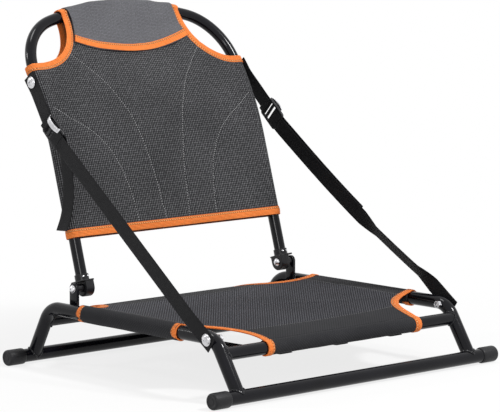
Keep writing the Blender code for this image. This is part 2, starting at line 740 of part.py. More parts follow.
def outline_directions(points):
    """For each (x, s) point of the right half outline, the outward direction in the backrest's own face."""
    directions = []
    for index in range(len(points)):
        before = points[max(index - 1, 0)]
        after = points[min(index + 1, len(points) - 1)]
        run = Vector((after[0] - before[0], after[1] - before[1])).normalized()
        directions.append(Vector((run.y, -run.x)))
    directions[-1] = Vector((0.0, 1.0))
    return directions


def bag_rings(start, radius, columns=COVER_COLUMNS):
    """Closed sections of the cover from its bottom to its crown, each once round the two legs."""
    points = half_outline(start)
    rings = []
    for (x, s), out in zip(points, outline_directions(points)):
        ring = []
        for sign in (1.0, -1.0):
            outward = Vector((sign * out.x, 0.0, 0.0)) + back_along(s) * out.y
            rim = bag_section(sign * x, s, radius, RIM_STEPS, outward)
            ring += rim if sign > 0 else rim[::-1]
            if x > 0:
                near, far = ring[-1], back_point(-sign * x, s, sign * radius)
                ring += [near.lerp(far, step / columns) for step in range(1, columns)]
        rings.append(ring)
    return rings


def bag(start, radius, columns=COVER_COLUMNS):
    """A closed pillow-shaped solid round the backrest tube, flat at its bottom."""
    rings = bag_rings(start, radius, columns)
    data = bmesh.new()
    rows = [[data.verts.new(point) for point in ring] for ring in rings[:-1]]
    top = half_outline(start)[-1][1]
    crown = [data.verts.new(point) for point in bag_section(0.0, top, radius, RIM_STEPS, back_along(top))]
    count = len(rows[0])
    for near, far in zip(rows, rows[1:]):
        for index in range(count):
            after = (index + 1) % count
            data.faces.new((near[index], near[after], far[after], far[index]))
    data.faces.new(rows[0][::-1])
    last = rows[-1]
    steps = RIM_STEPS
    for index in range(steps):
        data.faces.new((last[index], last[index + 1], crown[index + 1], crown[index]))
        other = steps + columns + index
        data.faces.new((last[other], last[other + 1], crown[steps - index - 1], crown[steps - index]))
    for index in range(columns):
        data.faces.new((last[steps + index], last[steps + index + 1], crown[steps]))
        far = 2 * steps + columns + index
        data.faces.new((last[far], last[(far + 1) % count], crown[0]))
    return data


def arch_top(x):
    """Length s of the tube's centre line over a place x on the arch."""
    points = arch_half()
    for (x_out, s_out), (x_in, s_in) in zip(points, points[1:]):
        if x_in <= abs(x) <= x_out:
            return s_in + (s_out - s_in) * (abs(x) - x_in) / (x_out - x_in)
    return ARCH_START


def arch_directions(sign, x):
    """On the arch over a place x: the way inward along it, and the way out of it."""
    start = BACK_X - ARCH_RADIUS + ARCH_RADIUS * math.sin(CROWN_ANGLE)
    slope = math.atan(math.tan(CROWN_ANGLE) * min(abs(x) / start, 1.0))
    along = back_along(arch_top(x))
    across = Vector((sign, 0.0, 0.0))
    inward = along * math.sin(slope) - across * math.cos(slope)
    outward = along * math.cos(slope) + across * math.sin(slope)
    return inward, outward


def opening_edge(steps=EDGE_STEPS):
    """Edge of the right hand opening as (x, s) points, from the leg's side to the arch's top."""
    half = BACK_X - OPENING_INNER
    height = arch_top(OPENING_INNER) - OPENING_BOTTOM
    points = []
    for step in range(steps + 1):
        angle = math.pi / 2 * step / steps
        across = math.sin(angle) ** (2 / OPENING_POWER)
        down = math.cos(angle) ** (2 / OPENING_POWER)
        points.append((OPENING_INNER + half * (1 - across), OPENING_BOTTOM + height * (1 - down)))
    return points


def build_cover(builder):
    """The cloth bag over the backrest tube: open below, with an opening at each top corner."""
    cover = builder.add("backrest_cover", bag(COVER_BOTTOM, COVER_OUT), "mesh_cloth", builder.back)
    builder.boolean(cover, bag(COVER_BOTTOM - HEM_WIDTH, COVER_IN), "DIFFERENCE")
    for sign in (-1.0, 1.0):
        reach = BACK_X + 2 * COVER_OUT
        top = arch_top(0.0) + 3 * COVER_OUT
        edge = opening_edge()
        outline = [(reach, edge[0][1])] + edge + [(OPENING_INNER, top), (reach, top)]
        faces = (-2 * COVER_OUT, 2 * COVER_OUT)
        cutter = loft([[back_point(sign * x, s, n) for x, s in outline] for n in faces])
        builder.boolean(cover, cutter, "DIFFERENCE")
        bolt = back_point(sign * BACK_X, UPPER_BOLT_AT, 0.0)
        hole = rod(bolt, bolt + Vector((sign * 2 * TUBE_OD, 0.0, 0.0)), STRAP_HOLE_R, SMALL_SIDES)
        builder.boolean(cover, hole, "DIFFERENCE")


def ribbon(stations, low, high, lift, thickness, closed=False):
    """A flat band along stations of (point, normal, sideways), low to high sideways, lifted off its base."""
    sections = []
    for point, normal, sideways in stations:
        sections.append([
            point + sideways * low + normal * lift,
            point + sideways * high + normal * lift,
            point + sideways * high + normal * (lift + thickness),
            point + sideways * low + normal * (lift + thickness),
        ])
    return loft(sections, closed)


def sideways_of(points, index, normal):
    """In the surface with this normal, the direction square to a row of points."""
    before = points[max(index - 1, 0)]
    after = points[min(index + 1, len(points) - 1)]
    return normal.cross((after - before).normalized()).normalized()


def opening_binding(sign):
    """Binding of one opening's closed edge: front edge, over the tube, back edge, round the leg."""
    edge = opening_edge()
    stations = []
    for face in (1.0, -1.0):
        row = edge if face > 0 else edge[::-1]
        points = [back_point(sign * x, s, face * COVER_OUT) for x, s in row]
        for index, (x, s) in enumerate(row):
            normal = back_normal(s) * face
            away = sideways_of(points, index, normal) * sign
            if index in (0, len(row) - 1):
                away = square_end(sign, s, x)
            stations.append((points[index], normal, away))
        turn_x, turn_s = row[-1]
        stations += rim_turn(sign, turn_x, turn_s, face)
    return ribbon(stations, 0.0, BINDING_WIDTH, GAP, BINDING_THICKNESS, closed=True)


def square_end(sign, s, x):
    """Direction off an opening's edge where it meets the tube: down at the leg, inward at the arch."""
    if x > OPENING_INNER + COVER_OUT:
        return -back_along(s)
    return arch_directions(sign, x)[0]


def rim_turn(sign, x, s, face):
    """Stations that carry a binding half way round the tube, from one face of the cover to the other."""
    over_arch = x <= OPENING_INNER + COVER_OUT
    centre = back_point(sign * x, s, 0.0)
    outward = arch_directions(sign, x)[1] if over_arch else Vector((sign, 0.0, 0.0))
    stations = []
    for step in range(1, RIM_STEPS):
        angle = math.pi / 2 - math.pi * step / RIM_STEPS
        normal = outward * math.cos(angle) + back_normal(s) * (face * math.sin(angle))
        stations.append((centre + normal * COVER_OUT, normal, square_end(sign, s, x)))
    return stations


def flap_limits():
    """The line that the flap keeps to on its right side, as (x, s) points beside the opening's binding."""
    edge = opening_edge()
    away = BINDING_WIDTH + FLAP_CLEARANCE
    points = []
    for index, (x, s) in enumerate(edge):
        before = edge[max(index - 1, 0)]
        after = edge[min(index + 1, len(edge) - 1)]
        run = Vector((after[0] - before[0], after[1] - before[1])).normalized()
        points.append((x - run.y * away, s + run.x * away))
    return points


def flap_place(share, s):
    """Place across the flap at a length s, for a share of the half width that its bindings leave."""
    limits = flap_limits()
    for (x_low, s_low), (x_high, s_high) in zip(limits, limits[1:]):
        if s_low <= s <= s_high:
            return (x_low + (x_high - x_low) * (s - s_low) / (s_high - s_low)) * share
    return limits[-1][0] * share


def flap_edge(share):
    """Length s of the flap's curved lower edge at a share of its half width."""
    return FLAP_SIDE - FLAP_DIP * (1 - share * share)


def flap_column(share, lift):
    """One line of flap points, from above its bound edge up and over the arch's rim."""
    low = flap_edge(share) + BINDING_WIDTH + 2 * GAP
    top = arch_top(flap_place(share, ARCH_START + ARCH_RADIUS))
    points = []
    for row in range(FLAP_ROWS):
        s = low + (top - low) * row / FLAP_ROWS
        points.append(back_point(flap_place(share, s), s, lift))
    x = flap_place(share, top)
    outward = arch_directions(math.copysign(1.0, x), abs(x))[1]
    for turn in range(FLAP_TURNS + 1):
        angle = math.pi / 2 * turn / FLAP_TURNS
        points.append(back_point(x, top, 0.0) + back_normal(top) * (lift * math.cos(angle))
                      + outward * (lift * math.sin(angle)))
    return points


def build_flap(builder):
    """The flap that comes over the arch and down the front, with a bound curved edge."""
    lift = COVER_OUT + 2 * GAP
    shares = [2 * column / FLAP_COLUMNS - 1 for column in range(FLAP_COLUMNS + 1)]
    sections = [flap_column(share, lift) + flap_column(share, lift + FLAP_CLOTH)[::-1] for share in shares]
    builder.add("backrest_flap", loft(sections), "flap_cloth", builder.back)
    sections = []
    for share in shares:
        low = flap_edge(share)
        corners = ((low, lift), (low + BINDING_WIDTH, lift), (low + BINDING_WIDTH, lift + BINDING_THICKNESS),
                   (low, lift + BINDING_THICKNESS))
        sections.append([back_point(flap_place(share, s), s, n) for s, n in corners])
    builder.add("flap_binding", loft(sections), "binding", builder.back)


def build_bindings(builder):
    """Bound edges of the cover: its two openings and its bottom hem."""
    for side, sign in SIDES:
        builder.add(f"opening_binding_{side}", opening_binding(sign), "binding", builder.back)
    outer_r = COVER_OUT + GAP + BINDING_THICKNESS
    inner_r = COVER_OUT + GAP
    stations = (COVER_BOTTOM, COVER_BOTTOM + HEM_WIDTH)
    outer = [bag_rings(s, outer_r)[0] for s in stations]
    inner = [bag_rings(s, inner_r)[0] for s in stations]
    builder.add("hem_binding", loft_shell(outer, inner), "binding", builder.back)


# Seat sling

def deck_height(x, y):
    """Top of the stretched deck: high along the rails, low along the cross tubes, a saddle between."""
    rail_top = RAIL_HEIGHT + SLEEVE_RAIL_OUT
    cross_top = CROSS_HEIGHT + SLEEVE_CROSS_OUT
    middle = (FRONT_CROSS_Y + REAR_CROSS_Y) / 2
    half = (REAR_CROSS_Y - FRONT_CROSS_Y) / 2
    from_cross = max(1 - ((y - middle) / half) ** 2, 0.0)
    from_rail = max(1 - (x / RAIL_X) ** 2, 0.0)
    total = from_cross + from_rail
    share = from_cross / total if total > 1e-9 else 0.5
    return cross_top + (rail_top - cross_top) * share


def deck():
    """The deck as a closed sheet on a grid between the rails and the cross tubes."""
    columns, rows = DECK_CELLS, DECK_CELLS
    top = []
    for row in range(rows + 1):
        y = FRONT_CROSS_Y + (REAR_CROSS_Y - FRONT_CROSS_Y) * row / rows
        top.append([Vector((x, y, deck_height(x, y) - DECK_INSET))
                    for x in (RAIL_X * (2 * column / columns - 1) for column in range(columns + 1))])
    thickness = Vector((0.0, 0.0, DECK_CLOTH))
    sections = [row + [point - thickness for point in row[::-1]] for row in top]
    data = bmesh.new()
    rings = [[data.verts.new(point) for point in section] for section in sections]
    for near, far in zip(rings, rings[1:]):
        count = len(near)
        for index in range(count):
            after = (index + 1) % count
            data.faces.new((near[index], near[after], far[after], far[index]))
    for ring in (rings[0], rings[-1]):
        count = len(ring)
        for index in range(count // 2 - 1):
            data.faces.new((ring[index], ring[index + 1], ring[count - 2 - index], ring[count - 1 - index]))
    return data


def corner_curve(front, sign, steps=CORNER_STEPS):
    """Edge of one corner cut-out as (x, y) points, from the rail's sleeve to the cross tube's."""
    cross_y = FRONT_CROSS_Y if front else REAR_CROSS_Y
    sleeve_y = RAIL_SLEEVE_FRONT if front else RAIL_SLEEVE_REAR
    points = []
    for step in range(steps + 1):
        angle = math.pi / 2 * step / steps
        x = sign * (RAIL_X - CORNER_WIDTH * math.sin(angle))
        points.append((x, cross_y + (sleeve_y - cross_y) * math.cos(angle)))
    return points


def build_sling(builder):
    """One sewn sling: the deck, sleeves round the rails and the cross tubes, and four cut-out corners."""
    sling = builder.add("seat_sling", deck(), "mesh_cloth")
    depth = RAIL_HEIGHT
    for front in (True, False):
        for sign in (-1.0, 1.0):
            cross_y = FRONT_CROSS_Y if front else REAR_CROSS_Y
            past = cross_y + (-TUBE_OD if front else TUBE_OD)
            curve = corner_curve(front, sign)
            far_x = sign * (RAIL_X + TUBE_OD)
            outline = [(far_x, past), (far_x, curve[0][1])] + curve + [(curve[-1][0], past)]
            cutter = loft([[Vector((x, y, z)) for x, y in outline] for z in (depth / 2, depth * 2)])
            builder.boolean(sling, cutter, "DIFFERENCE")
    for sign in (-1.0, 1.0):
        start = Vector((sign * RAIL_X, RAIL_SLEEVE_FRONT, RAIL_HEIGHT))
        end = Vector((sign * RAIL_X, RAIL_SLEEVE_REAR, RAIL_HEIGHT))
        builder.boolean(sling, rod(start, end, SLEEVE_RAIL_OUT), "UNION")
    for y in (FRONT_CROSS_Y, REAR_CROSS_Y):
        ends = [Vector((x, y, CROSS_HEIGHT)) for x in (-CROSS_SLEEVE_HALF, CROSS_SLEEVE_HALF)]
        sleeve = rod(*ends, SLEEVE_CROSS_OUT)
        builder.boolean(sling, sleeve, "UNION")
    for sign in (-1.0, 1.0):
        x = sign * RAIL_X
        bore = rod((x, FRONT_CROSS_Y, RAIL_HEIGHT), (x, REAR_CROSS_Y, RAIL_HEIGHT), SLEEVE_RAIL_IN)
        builder.boolean(sling, bore, "DIFFERENCE")
    for y in (FRONT_CROSS_Y, REAR_CROSS_Y):
        bore = rod((-RAIL_X, y, CROSS_HEIGHT), (RAIL_X, y, CROSS_HEIGHT), SLEEVE_CROSS_IN)
        builder.boolean(sling, bore, "DIFFERENCE")


def seat_binding(front, sign):
    """Binding of one corner: round the rail's sleeve, along the cut-out, round the cross tube's sleeve."""
    cross_y = FRONT_CROSS_Y if front else REAR_CROSS_Y
    inward_y = 1.0 if front else -1.0
    curve = corner_curve(front, sign)
    stations = []
    rail_centre = Vector((sign * RAIL_X, curve[0][1], RAIL_HEIGHT))
    for turn in range(WRAP_STEPS):
        angle = math.pi / 2 - WRAP_ANGLE * (1 - turn / WRAP_STEPS)
        normal = Vector((sign * math.cos(angle), 0.0, math.sin(angle)))
        stations.append((rail_centre + normal * SLEEVE_RAIL_OUT, normal, Vector((0.0, inward_y, 0.0))))
    deck_points = [Vector((x, y, deck_height(x, y))) for x, y in curve]
    up = Vector((0.0, 0.0, 1.0))
    for index, point in enumerate(deck_points):
        away = sideways_of(deck_points, index, up) * (-sign * inward_y)
        if index == 0:
            away = Vector((0.0, inward_y, 0.0))
        if index == len(deck_points) - 1:
            away = Vector((-sign, 0.0, 0.0))
        bulge = DECK_CLEARANCE * math.sin(math.pi * index / (len(deck_points) - 1))
        stations.append((point + up * bulge, up, away))
    cross_centre = Vector((deck_points[-1].x, cross_y, CROSS_HEIGHT))
    for turn in range(1, WRAP_STEPS + 1):
        angle = math.pi / 2 + WRAP_ANGLE * turn / WRAP_STEPS
        normal = Vector((0.0, inward_y * math.cos(angle), math.sin(angle)))
        stations.append((cross_centre + normal * SLEEVE_CROSS_OUT, normal, Vector((-sign, 0.0, 0.0))))
    return ribbon(stations, 0.0, BINDING_WIDTH, GAP, BINDING_THICKNESS)


def build_seat_bindings(builder):
    """The four bound corners of the sling."""
    for place, front in (("front", True), ("rear", False)):
        for side, sign in SIDES:
            builder.add(f"seat_binding_{place}_{side}", seat_binding(front, sign), "binding")


def build_tension_straps(builder):
    """Three straps under the sling, from hem to hem, each through a slide buckle."""
    top = CROSS_HEIGHT - SLEEVE_CROSS_OUT - GAP
    middle = (FRONT_CROSS_Y + REAR_CROSS_Y) / 2
    half = (REAR_CROSS_Y - FRONT_CROSS_Y) / 2
    down = Vector((0.0, 0.0, -1.0))
    across = Vector((1.0, 0.0, 0.0))
    for index, place in enumerate(("left", "middle", "right")):
        x = (index - 1) * TENSION_STRAP_SPACING
        stations = []
        for step in range(TENSION_STEPS + 1):
            share = 2 * step / TENSION_STEPS - 1
            sag = TENSION_SLACK * (1 - share * share)
            stations.append((Vector((x, middle + half * share, top - sag)), down, across))
        strap = ribbon(stations, -WEBBING_WIDTH / 2, WEBBING_WIDTH / 2, 0.0, WEBBING_THICKNESS)
        builder.add(f"tension_strap_{place}", strap, "webbing")
        near = TENSION_BUCKLE_FROM_FRONT
        share = (near - middle) / half
        level = top - TENSION_SLACK * (1 - share * share) - WEBBING_THICKNESS / 2
        slope = math.atan(2 * TENSION_SLACK * share / half)
        builder.add(f"tension_buckle_{place}", slide_buckle(Vector((x, near, level)), slope), "moulding")


def slide_buckle(centre, slope):
    """A flat sleeve that the webbing runs through, with bevelled outer edges."""
    along = Vector((0.0, math.cos(slope), math.sin(slope)))
    up = Vector((0.0, -math.sin(slope), math.cos(slope)))
    across = Vector((1.0, 0.0, 0.0))
    slack = 2 * GAP
    half_w = WEBBING_WIDTH / 2 + slack
    half_t = WEBBING_THICKNESS / 2 + slack
    wall = TENSION_BUCKLE_WALL

    def section(place, width, height, corner):
        points = []
        for sx, sz in ((1, 1), (-1, 1), (-1, -1), (1, -1)):
            cut = ((corner, 0.0), (0.0, corner)) if sx * sz > 0 else ((0.0, corner), (corner, 0.0))
            order = ((width - cut[1][0], height - cut[1][1]), (width - cut[0][0], height - cut[0][1]))
            for w, h in order:
                points.append(centre + along * place + across * (sx * w) + up * (sz * h))
        return points

    ends = (-TENSION_BUCKLE_LENGTH / 2, TENSION_BUCKLE_LENGTH / 2)
    outer = [section(place, half_w + wall, half_t + wall, TENSION_BUCKLE_BEVEL) for place in ends]
    inner = [section(place, half_w, half_t, GAP) for place in ends]
    return loft_shell(outer, inner)


# Straps and buckles

def strap_frame(sign):
    """Centre of a strap's buckle, the way down its strap, and the way across it."""
    centre = Vector((sign * BUCKLE_OUT, BUCKLE_FROM_FRONT, BUCKLE_HEIGHT))
    down = Vector((0.0, -math.cos(BUCKLE_ANGLE), -math.sin(BUCKLE_ANGLE)))
    across = Vector((0.0, -math.sin(BUCKLE_ANGLE), math.cos(BUCKLE_ANGLE)))
    return centre, down, across


def webbing(path, sides):
    """Flat webbing along a path, its width square to the path and to each point's side direction."""
    stations = []
    for index, point in enumerate(path):
        before = path[max(index - 1, 0)]
        after = path[min(index + 1, len(path) - 1)]
        run = (after - before).normalized()
        across = sides[index].cross(run).normalized()
        normal = run.cross(across).normalized()
        stations.append((point, normal, across))
    half = WEBBING_WIDTH / 2
    return ribbon(stations, -half, half, -WEBBING_THICKNESS / 2, WEBBING_THICKNESS)


def bar_turn(centre, down, bar, way):
    """Half turn of webbing round the edge of a buckle's bar, as points beside the buckle's plane."""
    radius = BUCKLE_PLATE / 2 + GAP + WEBBING_THICKNESS / 2
    lift = Vector((1.0, 0.0, 0.0))
    points = []
    for step in range(BAR_TURN_STEPS + 1):
        angle = math.pi / 2 - math.pi * step / BAR_TURN_STEPS
        along = down * (bar + way * radius * math.cos(angle))
        points.append(centre + along + lift * (radius * math.sin(angle)))
    return points


def build_straps(builder):
    """On each side the upper strap, its buckle, the long lower strap and the webbing's loose end."""
    lift = Vector((1.0, 0.0, 0.0))
    stand = BUCKLE_PLATE / 2 + GAP + WEBBING_THICKNESS / 2
    for side, sign in SIDES:
        centre, down, _ = strap_frame(sign)
        upper_bolt = back_point(sign * BACK_X, UPPER_BOLT_AT, 0.0)
        upper_bolt.x = sign * STRAP_X_UPPER
        lower_bolt = Vector((sign * STRAP_X_LOWER, LOWER_BOLT_FROM_FRONT, LOWER_BOLT_HEIGHT))

        entry = centre + down * (-BUCKLE_LENGTH / 2 - stand * 2) + lift * stand
        run = entry - upper_bolt
        flat = Vector((0.0, run.y, run.z)).normalized()
        path = [upper_bolt - flat * STRAP_END, upper_bolt, upper_bolt + flat * STRAP_END]
        path += [path[-1].lerp(entry, 0.5), entry]
        path += bar_turn(centre, down, UPPER_SLOT[0], 1.0)
        path += [centre + down * (-BUCKLE_LENGTH / 2 - stand * 2) - lift * stand]
        band = webbing(path, strap_sides(path, lift))
        upper = builder.add(f"upper_strap_{side}", band, "webbing", builder.back)
        cut_bolt_hole(builder, upper, upper_bolt)

        exit_point = centre + down * (BUCKLE_LENGTH / 2 + GAP) - lift * stand
        tail = [exit_point]
        tail += bar_turn(centre, down, LOWER_SLOT[1], -1.0)[::-1]
        tail += tail_points(centre, down, lift, stand, sign, lower_bolt)
        loose = webbing(tail, strap_sides(tail, lift))
        builder.add(f"strap_tail_{side}", loose, "webbing", builder.back)

        run = (exit_point - lower_bolt).normalized()
        flat = Vector((0.0, run.y, run.z)).normalized()
        bend = lower_bolt + flat * LOWER_STRAP_FLAT
        start = exit_point + down * (2 * GAP)
        lead = start + down * STRAP_LEAD
        path = [start, lead, lead.lerp(bend, 1 / 3), lead.lerp(bend, 2 / 3), bend]
        path += [lower_bolt, lower_bolt - flat * STRAP_END]
        lower = builder.add(f"lower_strap_{side}", webbing(path, [lift] * len(path)), "webbing")
        cut_bolt_hole(builder, lower, lower_bolt)

        build_strap_bolts(builder, side, sign, upper_bolt, lower_bolt)
        build_buckle(builder, side, sign)


def strap_sides(path, lift):
    """Side directions that stay steady where webbing doubles back round a bar."""
    sides = []
    across = None
    for index in range(len(path)):
        before = path[max(index - 1, 0)]
        after = path[min(index + 1, len(path) - 1)]
        run = (after - before).normalized()
        if abs(run.dot(lift)) < 0.9:
            level = Vector((0.0, run.y, run.z)).normalized()
            fresh = lift.cross(level)
            if across is not None and fresh.dot(across) < 0:
                fresh = -fresh
            across = fresh
        sides.append(run.cross(across).normalized())
    return [-side for side in sides]


def cut_bolt_hole(builder, strap, place):
    """Cut the bolt's hole through a strap."""
    reach = Vector((STRAP_HEAD_D, 0.0, 0.0))
    builder.boolean(strap, rod(place - reach, place + reach, STRAP_HOLE_R, SMALL_SIDES), "DIFFERENCE")


def tail_points(centre, down, lift, stand, sign, lower_bolt):
    """The loose end after the buckle: it hangs on the left, and lies along the strap on the right."""
    leave = centre + down * (BUCKLE_LENGTH / 2) + lift * stand
    if sign > 0:
        strap_end = lower_bolt + lift * (2 * stand)
        run = (strap_end - leave).normalized()
        return [leave + run * (RIGHT_TAIL_LENGTH * step / TAIL_STEPS) for step in range(TAIL_STEPS + 1)]
    points = [leave]
    heading = BUCKLE_ANGLE
    length = LEFT_TAIL_LENGTH / TAIL_STEPS
    for _ in range(TAIL_STEPS):
        heading += (TAIL_HANG - heading) * TAIL_DROOP
        points.append(points[-1] + Vector((0.0, -math.cos(heading), -math.sin(heading))) * length)
    return points


def build_strap_bolts(builder, side, sign, upper_bolt, lower_bolt):
    """Flanged bolts through the strap ends, and the nut inside each rail."""
    axis = Vector((sign, 0.0, 0.0))
    head_r = STRAP_HEAD_D / 2
    bolt_r = STRAP_BOLT_D / 2
    seat = WEBBING_THICKNESS / 2 + GAP
    inner_x = RAIL_X - TUBE_R
    lower_grip = abs(lower_bolt.x) - inner_x + STRAP_NUT_HEIGHT + 2 * GAP
    rows = (
        ("upper", upper_bolt, UPPER_BOLT_GRIP, builder.back),
        ("lower", lower_bolt, lower_grip, builder.root),
    )
    for place, point, grip, carrier in rows:
        rim = seat + STRAP_HEAD_RIM
        curve = dome(STRAP_HEAD_HEIGHT - STRAP_HEAD_RIM, head_r * STRAP_DOME_SHARE)
        profile = [(-grip, 0.0), (-grip, bolt_r), (seat, bolt_r), (seat, head_r), (rim, head_r)]
        profile += [(rim + height, radius) for height, radius in curve]
        builder.add(f"{place}_strap_bolt_{side}", turned(profile, point, axis), "steel", carrier)
    nut_r = STRAP_NUT_FLATS / 2 / math.cos(math.pi / NUT_SIDES)
    face = Vector((sign * (inner_x - GAP), lower_bolt.y, lower_bolt.z))
    hole_r = STRAP_HOLE_R / math.cos(math.pi / NUT_SIDES)
    ring = [(0.0, hole_r), (0.0, nut_r), (STRAP_NUT_HEIGHT, nut_r), (STRAP_NUT_HEIGHT, hole_r)]
    nut = turned(ring, face, -axis, NUT_SIDES)
    builder.add(f"lower_strap_nut_{side}", nut, "steel")


def buckle_block(centre, down, across, box):
    """A block in a buckle's own directions: spans along the strap, across it, and out to the lip's side."""
    lift = Vector((1.0, 0.0, 0.0))
    (d0, d1), (a0, a1), (h0, h1) = box
    corners = ((a0, h0), (a1, h0), (a1, h1), (a0, h1))
    return loft([[centre + down * d + across * a + lift * h for a, h in corners] for d in (d0, d1)])


def build_buckle(builder, side, sign):
    """A moulded buckle: a plate with two strap slots and a curved thumb lip."""
    centre, down, across = strap_frame(sign)
    lift = Vector((1.0, 0.0, 0.0))
    half_l = BUCKLE_LENGTH / 2
    half_w = BUCKLE_WIDTH / 2
    cut = BUCKLE_CORNER
    half_t = BUCKLE_PLATE / 2
    outline = []
    for sd, sa in ((1, 1), (-1, 1), (-1, -1), (1, -1)):
        pair = ((half_l, half_w - cut), (half_l - cut, half_w))
        if sd * sa < 0:
            pair = pair[::-1]
        outline += [(sd * d, sa * a) for d, a in pair]
    body = loft([[centre + down * d + across * a + lift * h for d, a in outline] for h in (-half_t, half_t)])
    buckle = builder.add(f"buckle_body_{side}", body, "moulding", builder.back)
    slot_half = SLOT_WIDTH / 2
    for low, high in (UPPER_SLOT, LOWER_SLOT):
        slot = buckle_block(centre, down, across, ((low, high), (-slot_half, slot_half), (-TUBE_R, TUBE_R)))
        builder.boolean(buckle, slot, "DIFFERENCE")
    lip = []
    for step in range(LIP_STEPS + 1):
        turn = math.pi / 2 * step / LIP_STEPS
        place = LIP_ROOT - LIP_REACH * (1 - math.cos(turn))
        point = centre + down * place + lift * (LIP_RISE * math.sin(turn))
        normal = (down * (LIP_RISE * math.cos(turn)) + lift * (LIP_REACH * math.sin(turn))).normalized()
        lip.append((point, normal, across))
    curl = ribbon(lip, cut - half_w, half_w - cut, -LIP_THICKNESS / 2, LIP_THICKNESS)
    builder.boolean(buckle, curl, "UNION")


def main():
    """Build the whole seat."""
    clear_scene()
    builder = Builder()
    build_feet(builder)
    build_rails(builder)
    build_cross_tubes(builder)
    build_hinges(builder)
    build_back_tube(builder)
    build_cover(builder)
    build_flap(builder)
    build_bindings(builder)
    build_sling(builder)
    build_seat_bindings(builder)
    build_tension_straps(builder)
    build_straps(builder)
    builder.centre()


main()
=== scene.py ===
"""Kayak seat, dressed: a gloss black tube base, a stretched mesh sling and a folding cloth backrest.

Every length is in metres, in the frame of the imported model.
"""

from __future__ import annotations

import json
import logging
import math
import sys
from dataclasses import dataclass, field, replace
from enum import Enum
from functools import cache
from typing import Callable, Sequence

import bmesh
import bpy
import numpy as np
from mathutils import Matrix, Vector, noise

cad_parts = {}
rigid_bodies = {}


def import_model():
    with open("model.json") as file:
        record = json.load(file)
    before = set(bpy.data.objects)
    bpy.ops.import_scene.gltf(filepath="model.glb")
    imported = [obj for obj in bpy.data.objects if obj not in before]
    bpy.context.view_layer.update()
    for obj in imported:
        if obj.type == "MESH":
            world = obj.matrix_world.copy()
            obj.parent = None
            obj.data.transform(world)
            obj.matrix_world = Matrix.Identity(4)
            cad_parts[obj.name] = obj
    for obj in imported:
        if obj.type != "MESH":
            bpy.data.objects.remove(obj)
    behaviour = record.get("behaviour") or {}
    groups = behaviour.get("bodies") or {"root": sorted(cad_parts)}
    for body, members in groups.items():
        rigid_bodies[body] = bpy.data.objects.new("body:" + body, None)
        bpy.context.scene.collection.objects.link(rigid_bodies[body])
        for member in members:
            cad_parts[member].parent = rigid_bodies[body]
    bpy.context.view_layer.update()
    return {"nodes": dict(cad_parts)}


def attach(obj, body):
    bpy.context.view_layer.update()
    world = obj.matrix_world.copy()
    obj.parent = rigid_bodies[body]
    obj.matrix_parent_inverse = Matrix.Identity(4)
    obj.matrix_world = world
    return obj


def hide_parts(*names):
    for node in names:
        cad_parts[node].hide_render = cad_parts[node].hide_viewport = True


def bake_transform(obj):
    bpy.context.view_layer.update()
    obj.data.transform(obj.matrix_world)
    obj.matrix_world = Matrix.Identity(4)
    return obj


LOG = logging.getLogger("kayak_seat")
SIDES = (("left", -1.0), ("right", 1.0))
X_AXIS = Vector((1.0, 0.0, 0.0))
UP = Vector((0.0, 0.0, 1.0))
QUARTER = math.pi / 2
TURN = 2 * math.pi
FAR = 1.0  # distance to a sewn line, where there is none
Pairs = Sequence[tuple[float, float]]
Color = tuple[float, float, float]
Spot = tuple[float, float, float]
Frame = tuple[Vector, Vector, Vector]
Points = list[tuple[float, float]]
Socket = bpy.types.NodeSocket
Outputs = bpy.types.NodeOutputs


class Body(Enum):
    """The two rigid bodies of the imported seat."""

    BASE = "base"
    BACKREST = "backrest"


class Slot(Enum):
    """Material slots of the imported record."""

    FRAME = "frame"
    CAP = "cap"
    MOULDING = "moulding"
    STEEL = "steel"
    MESH_CLOTH = "mesh_cloth"
    FLAP_CLOTH = "flap_cloth"
    BINDING = "binding"
    WEBBING = "webbing"


@dataclass(frozen=True)
class SeatSizes:
    """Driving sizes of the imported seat, repeated from its source."""

    shift_y: float = -0.27016
    foot_span: float = 0.563
    tube_r: float = 0.010
    cap_r: float = 0.012
    foot_z: float = 0.01185
    rail_x: float = 0.2305
    rail_z: float = 0.0872
    rail_bend: float = 0.034
    cross_r: float = 0.0095
    cross_z: float = 0.0665
    back_x: float = 0.200
    back_r: float = 0.00875
    hinge_y: float = 0.3745
    hinge_z: float = 0.1182
    lower_lean: float = math.radians(16.5)
    upper_lean: float = math.radians(31.7)
    lumbar_start: float = 0.197
    lumbar_length: float = 0.120
    arch_start: float = 0.331
    arch_radius: float = 0.089
    crown_angle: float = math.radians(15.6)
    cloth: float = 0.0012
    tape: float = 0.0115
    tape_lap: float = 0.0008
    tape_seam: float = 0.0034
    webbing: float = 0.025

    @property
    def hinge(self) -> Vector:
        """Middle of the hinge's axis."""
        return self.spot(0.0, self.hinge_y, self.hinge_z)

    @property
    def tape_out(self) -> float:
        """Distance of a tape's middle from the edge that it binds."""
        return self.tape / 2 - self.tape_lap

    def spot(self, x: float, y: float, z: float) -> Vector:
        """A point of the source's frame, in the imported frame."""
        return Vector((x, y + self.shift_y, z))


SIZES = SeatSizes()


@dataclass(frozen=True)
class End:
    """The front or rear end of the base: its foot tube, legs, cross tube and corners of the sling."""

    name: str
    foot_y: float
    lean: float
    inward: float
    sleeve_y: float

    def leg_y(self, height: float) -> float:
        """Place of the legs along Y at a height."""
        return self.foot_y + self.inward * ((height - SIZES.foot_z) * math.tan(self.lean))

    @property
    def cross_y(self) -> float:
        """Place of the cross tube along Y."""
        return self.leg_y(SIZES.cross_z)

    @property
    def way(self) -> Vector:
        """Direction up the legs."""
        return Vector((0.0, self.inward * math.sin(self.lean), math.cos(self.lean)))


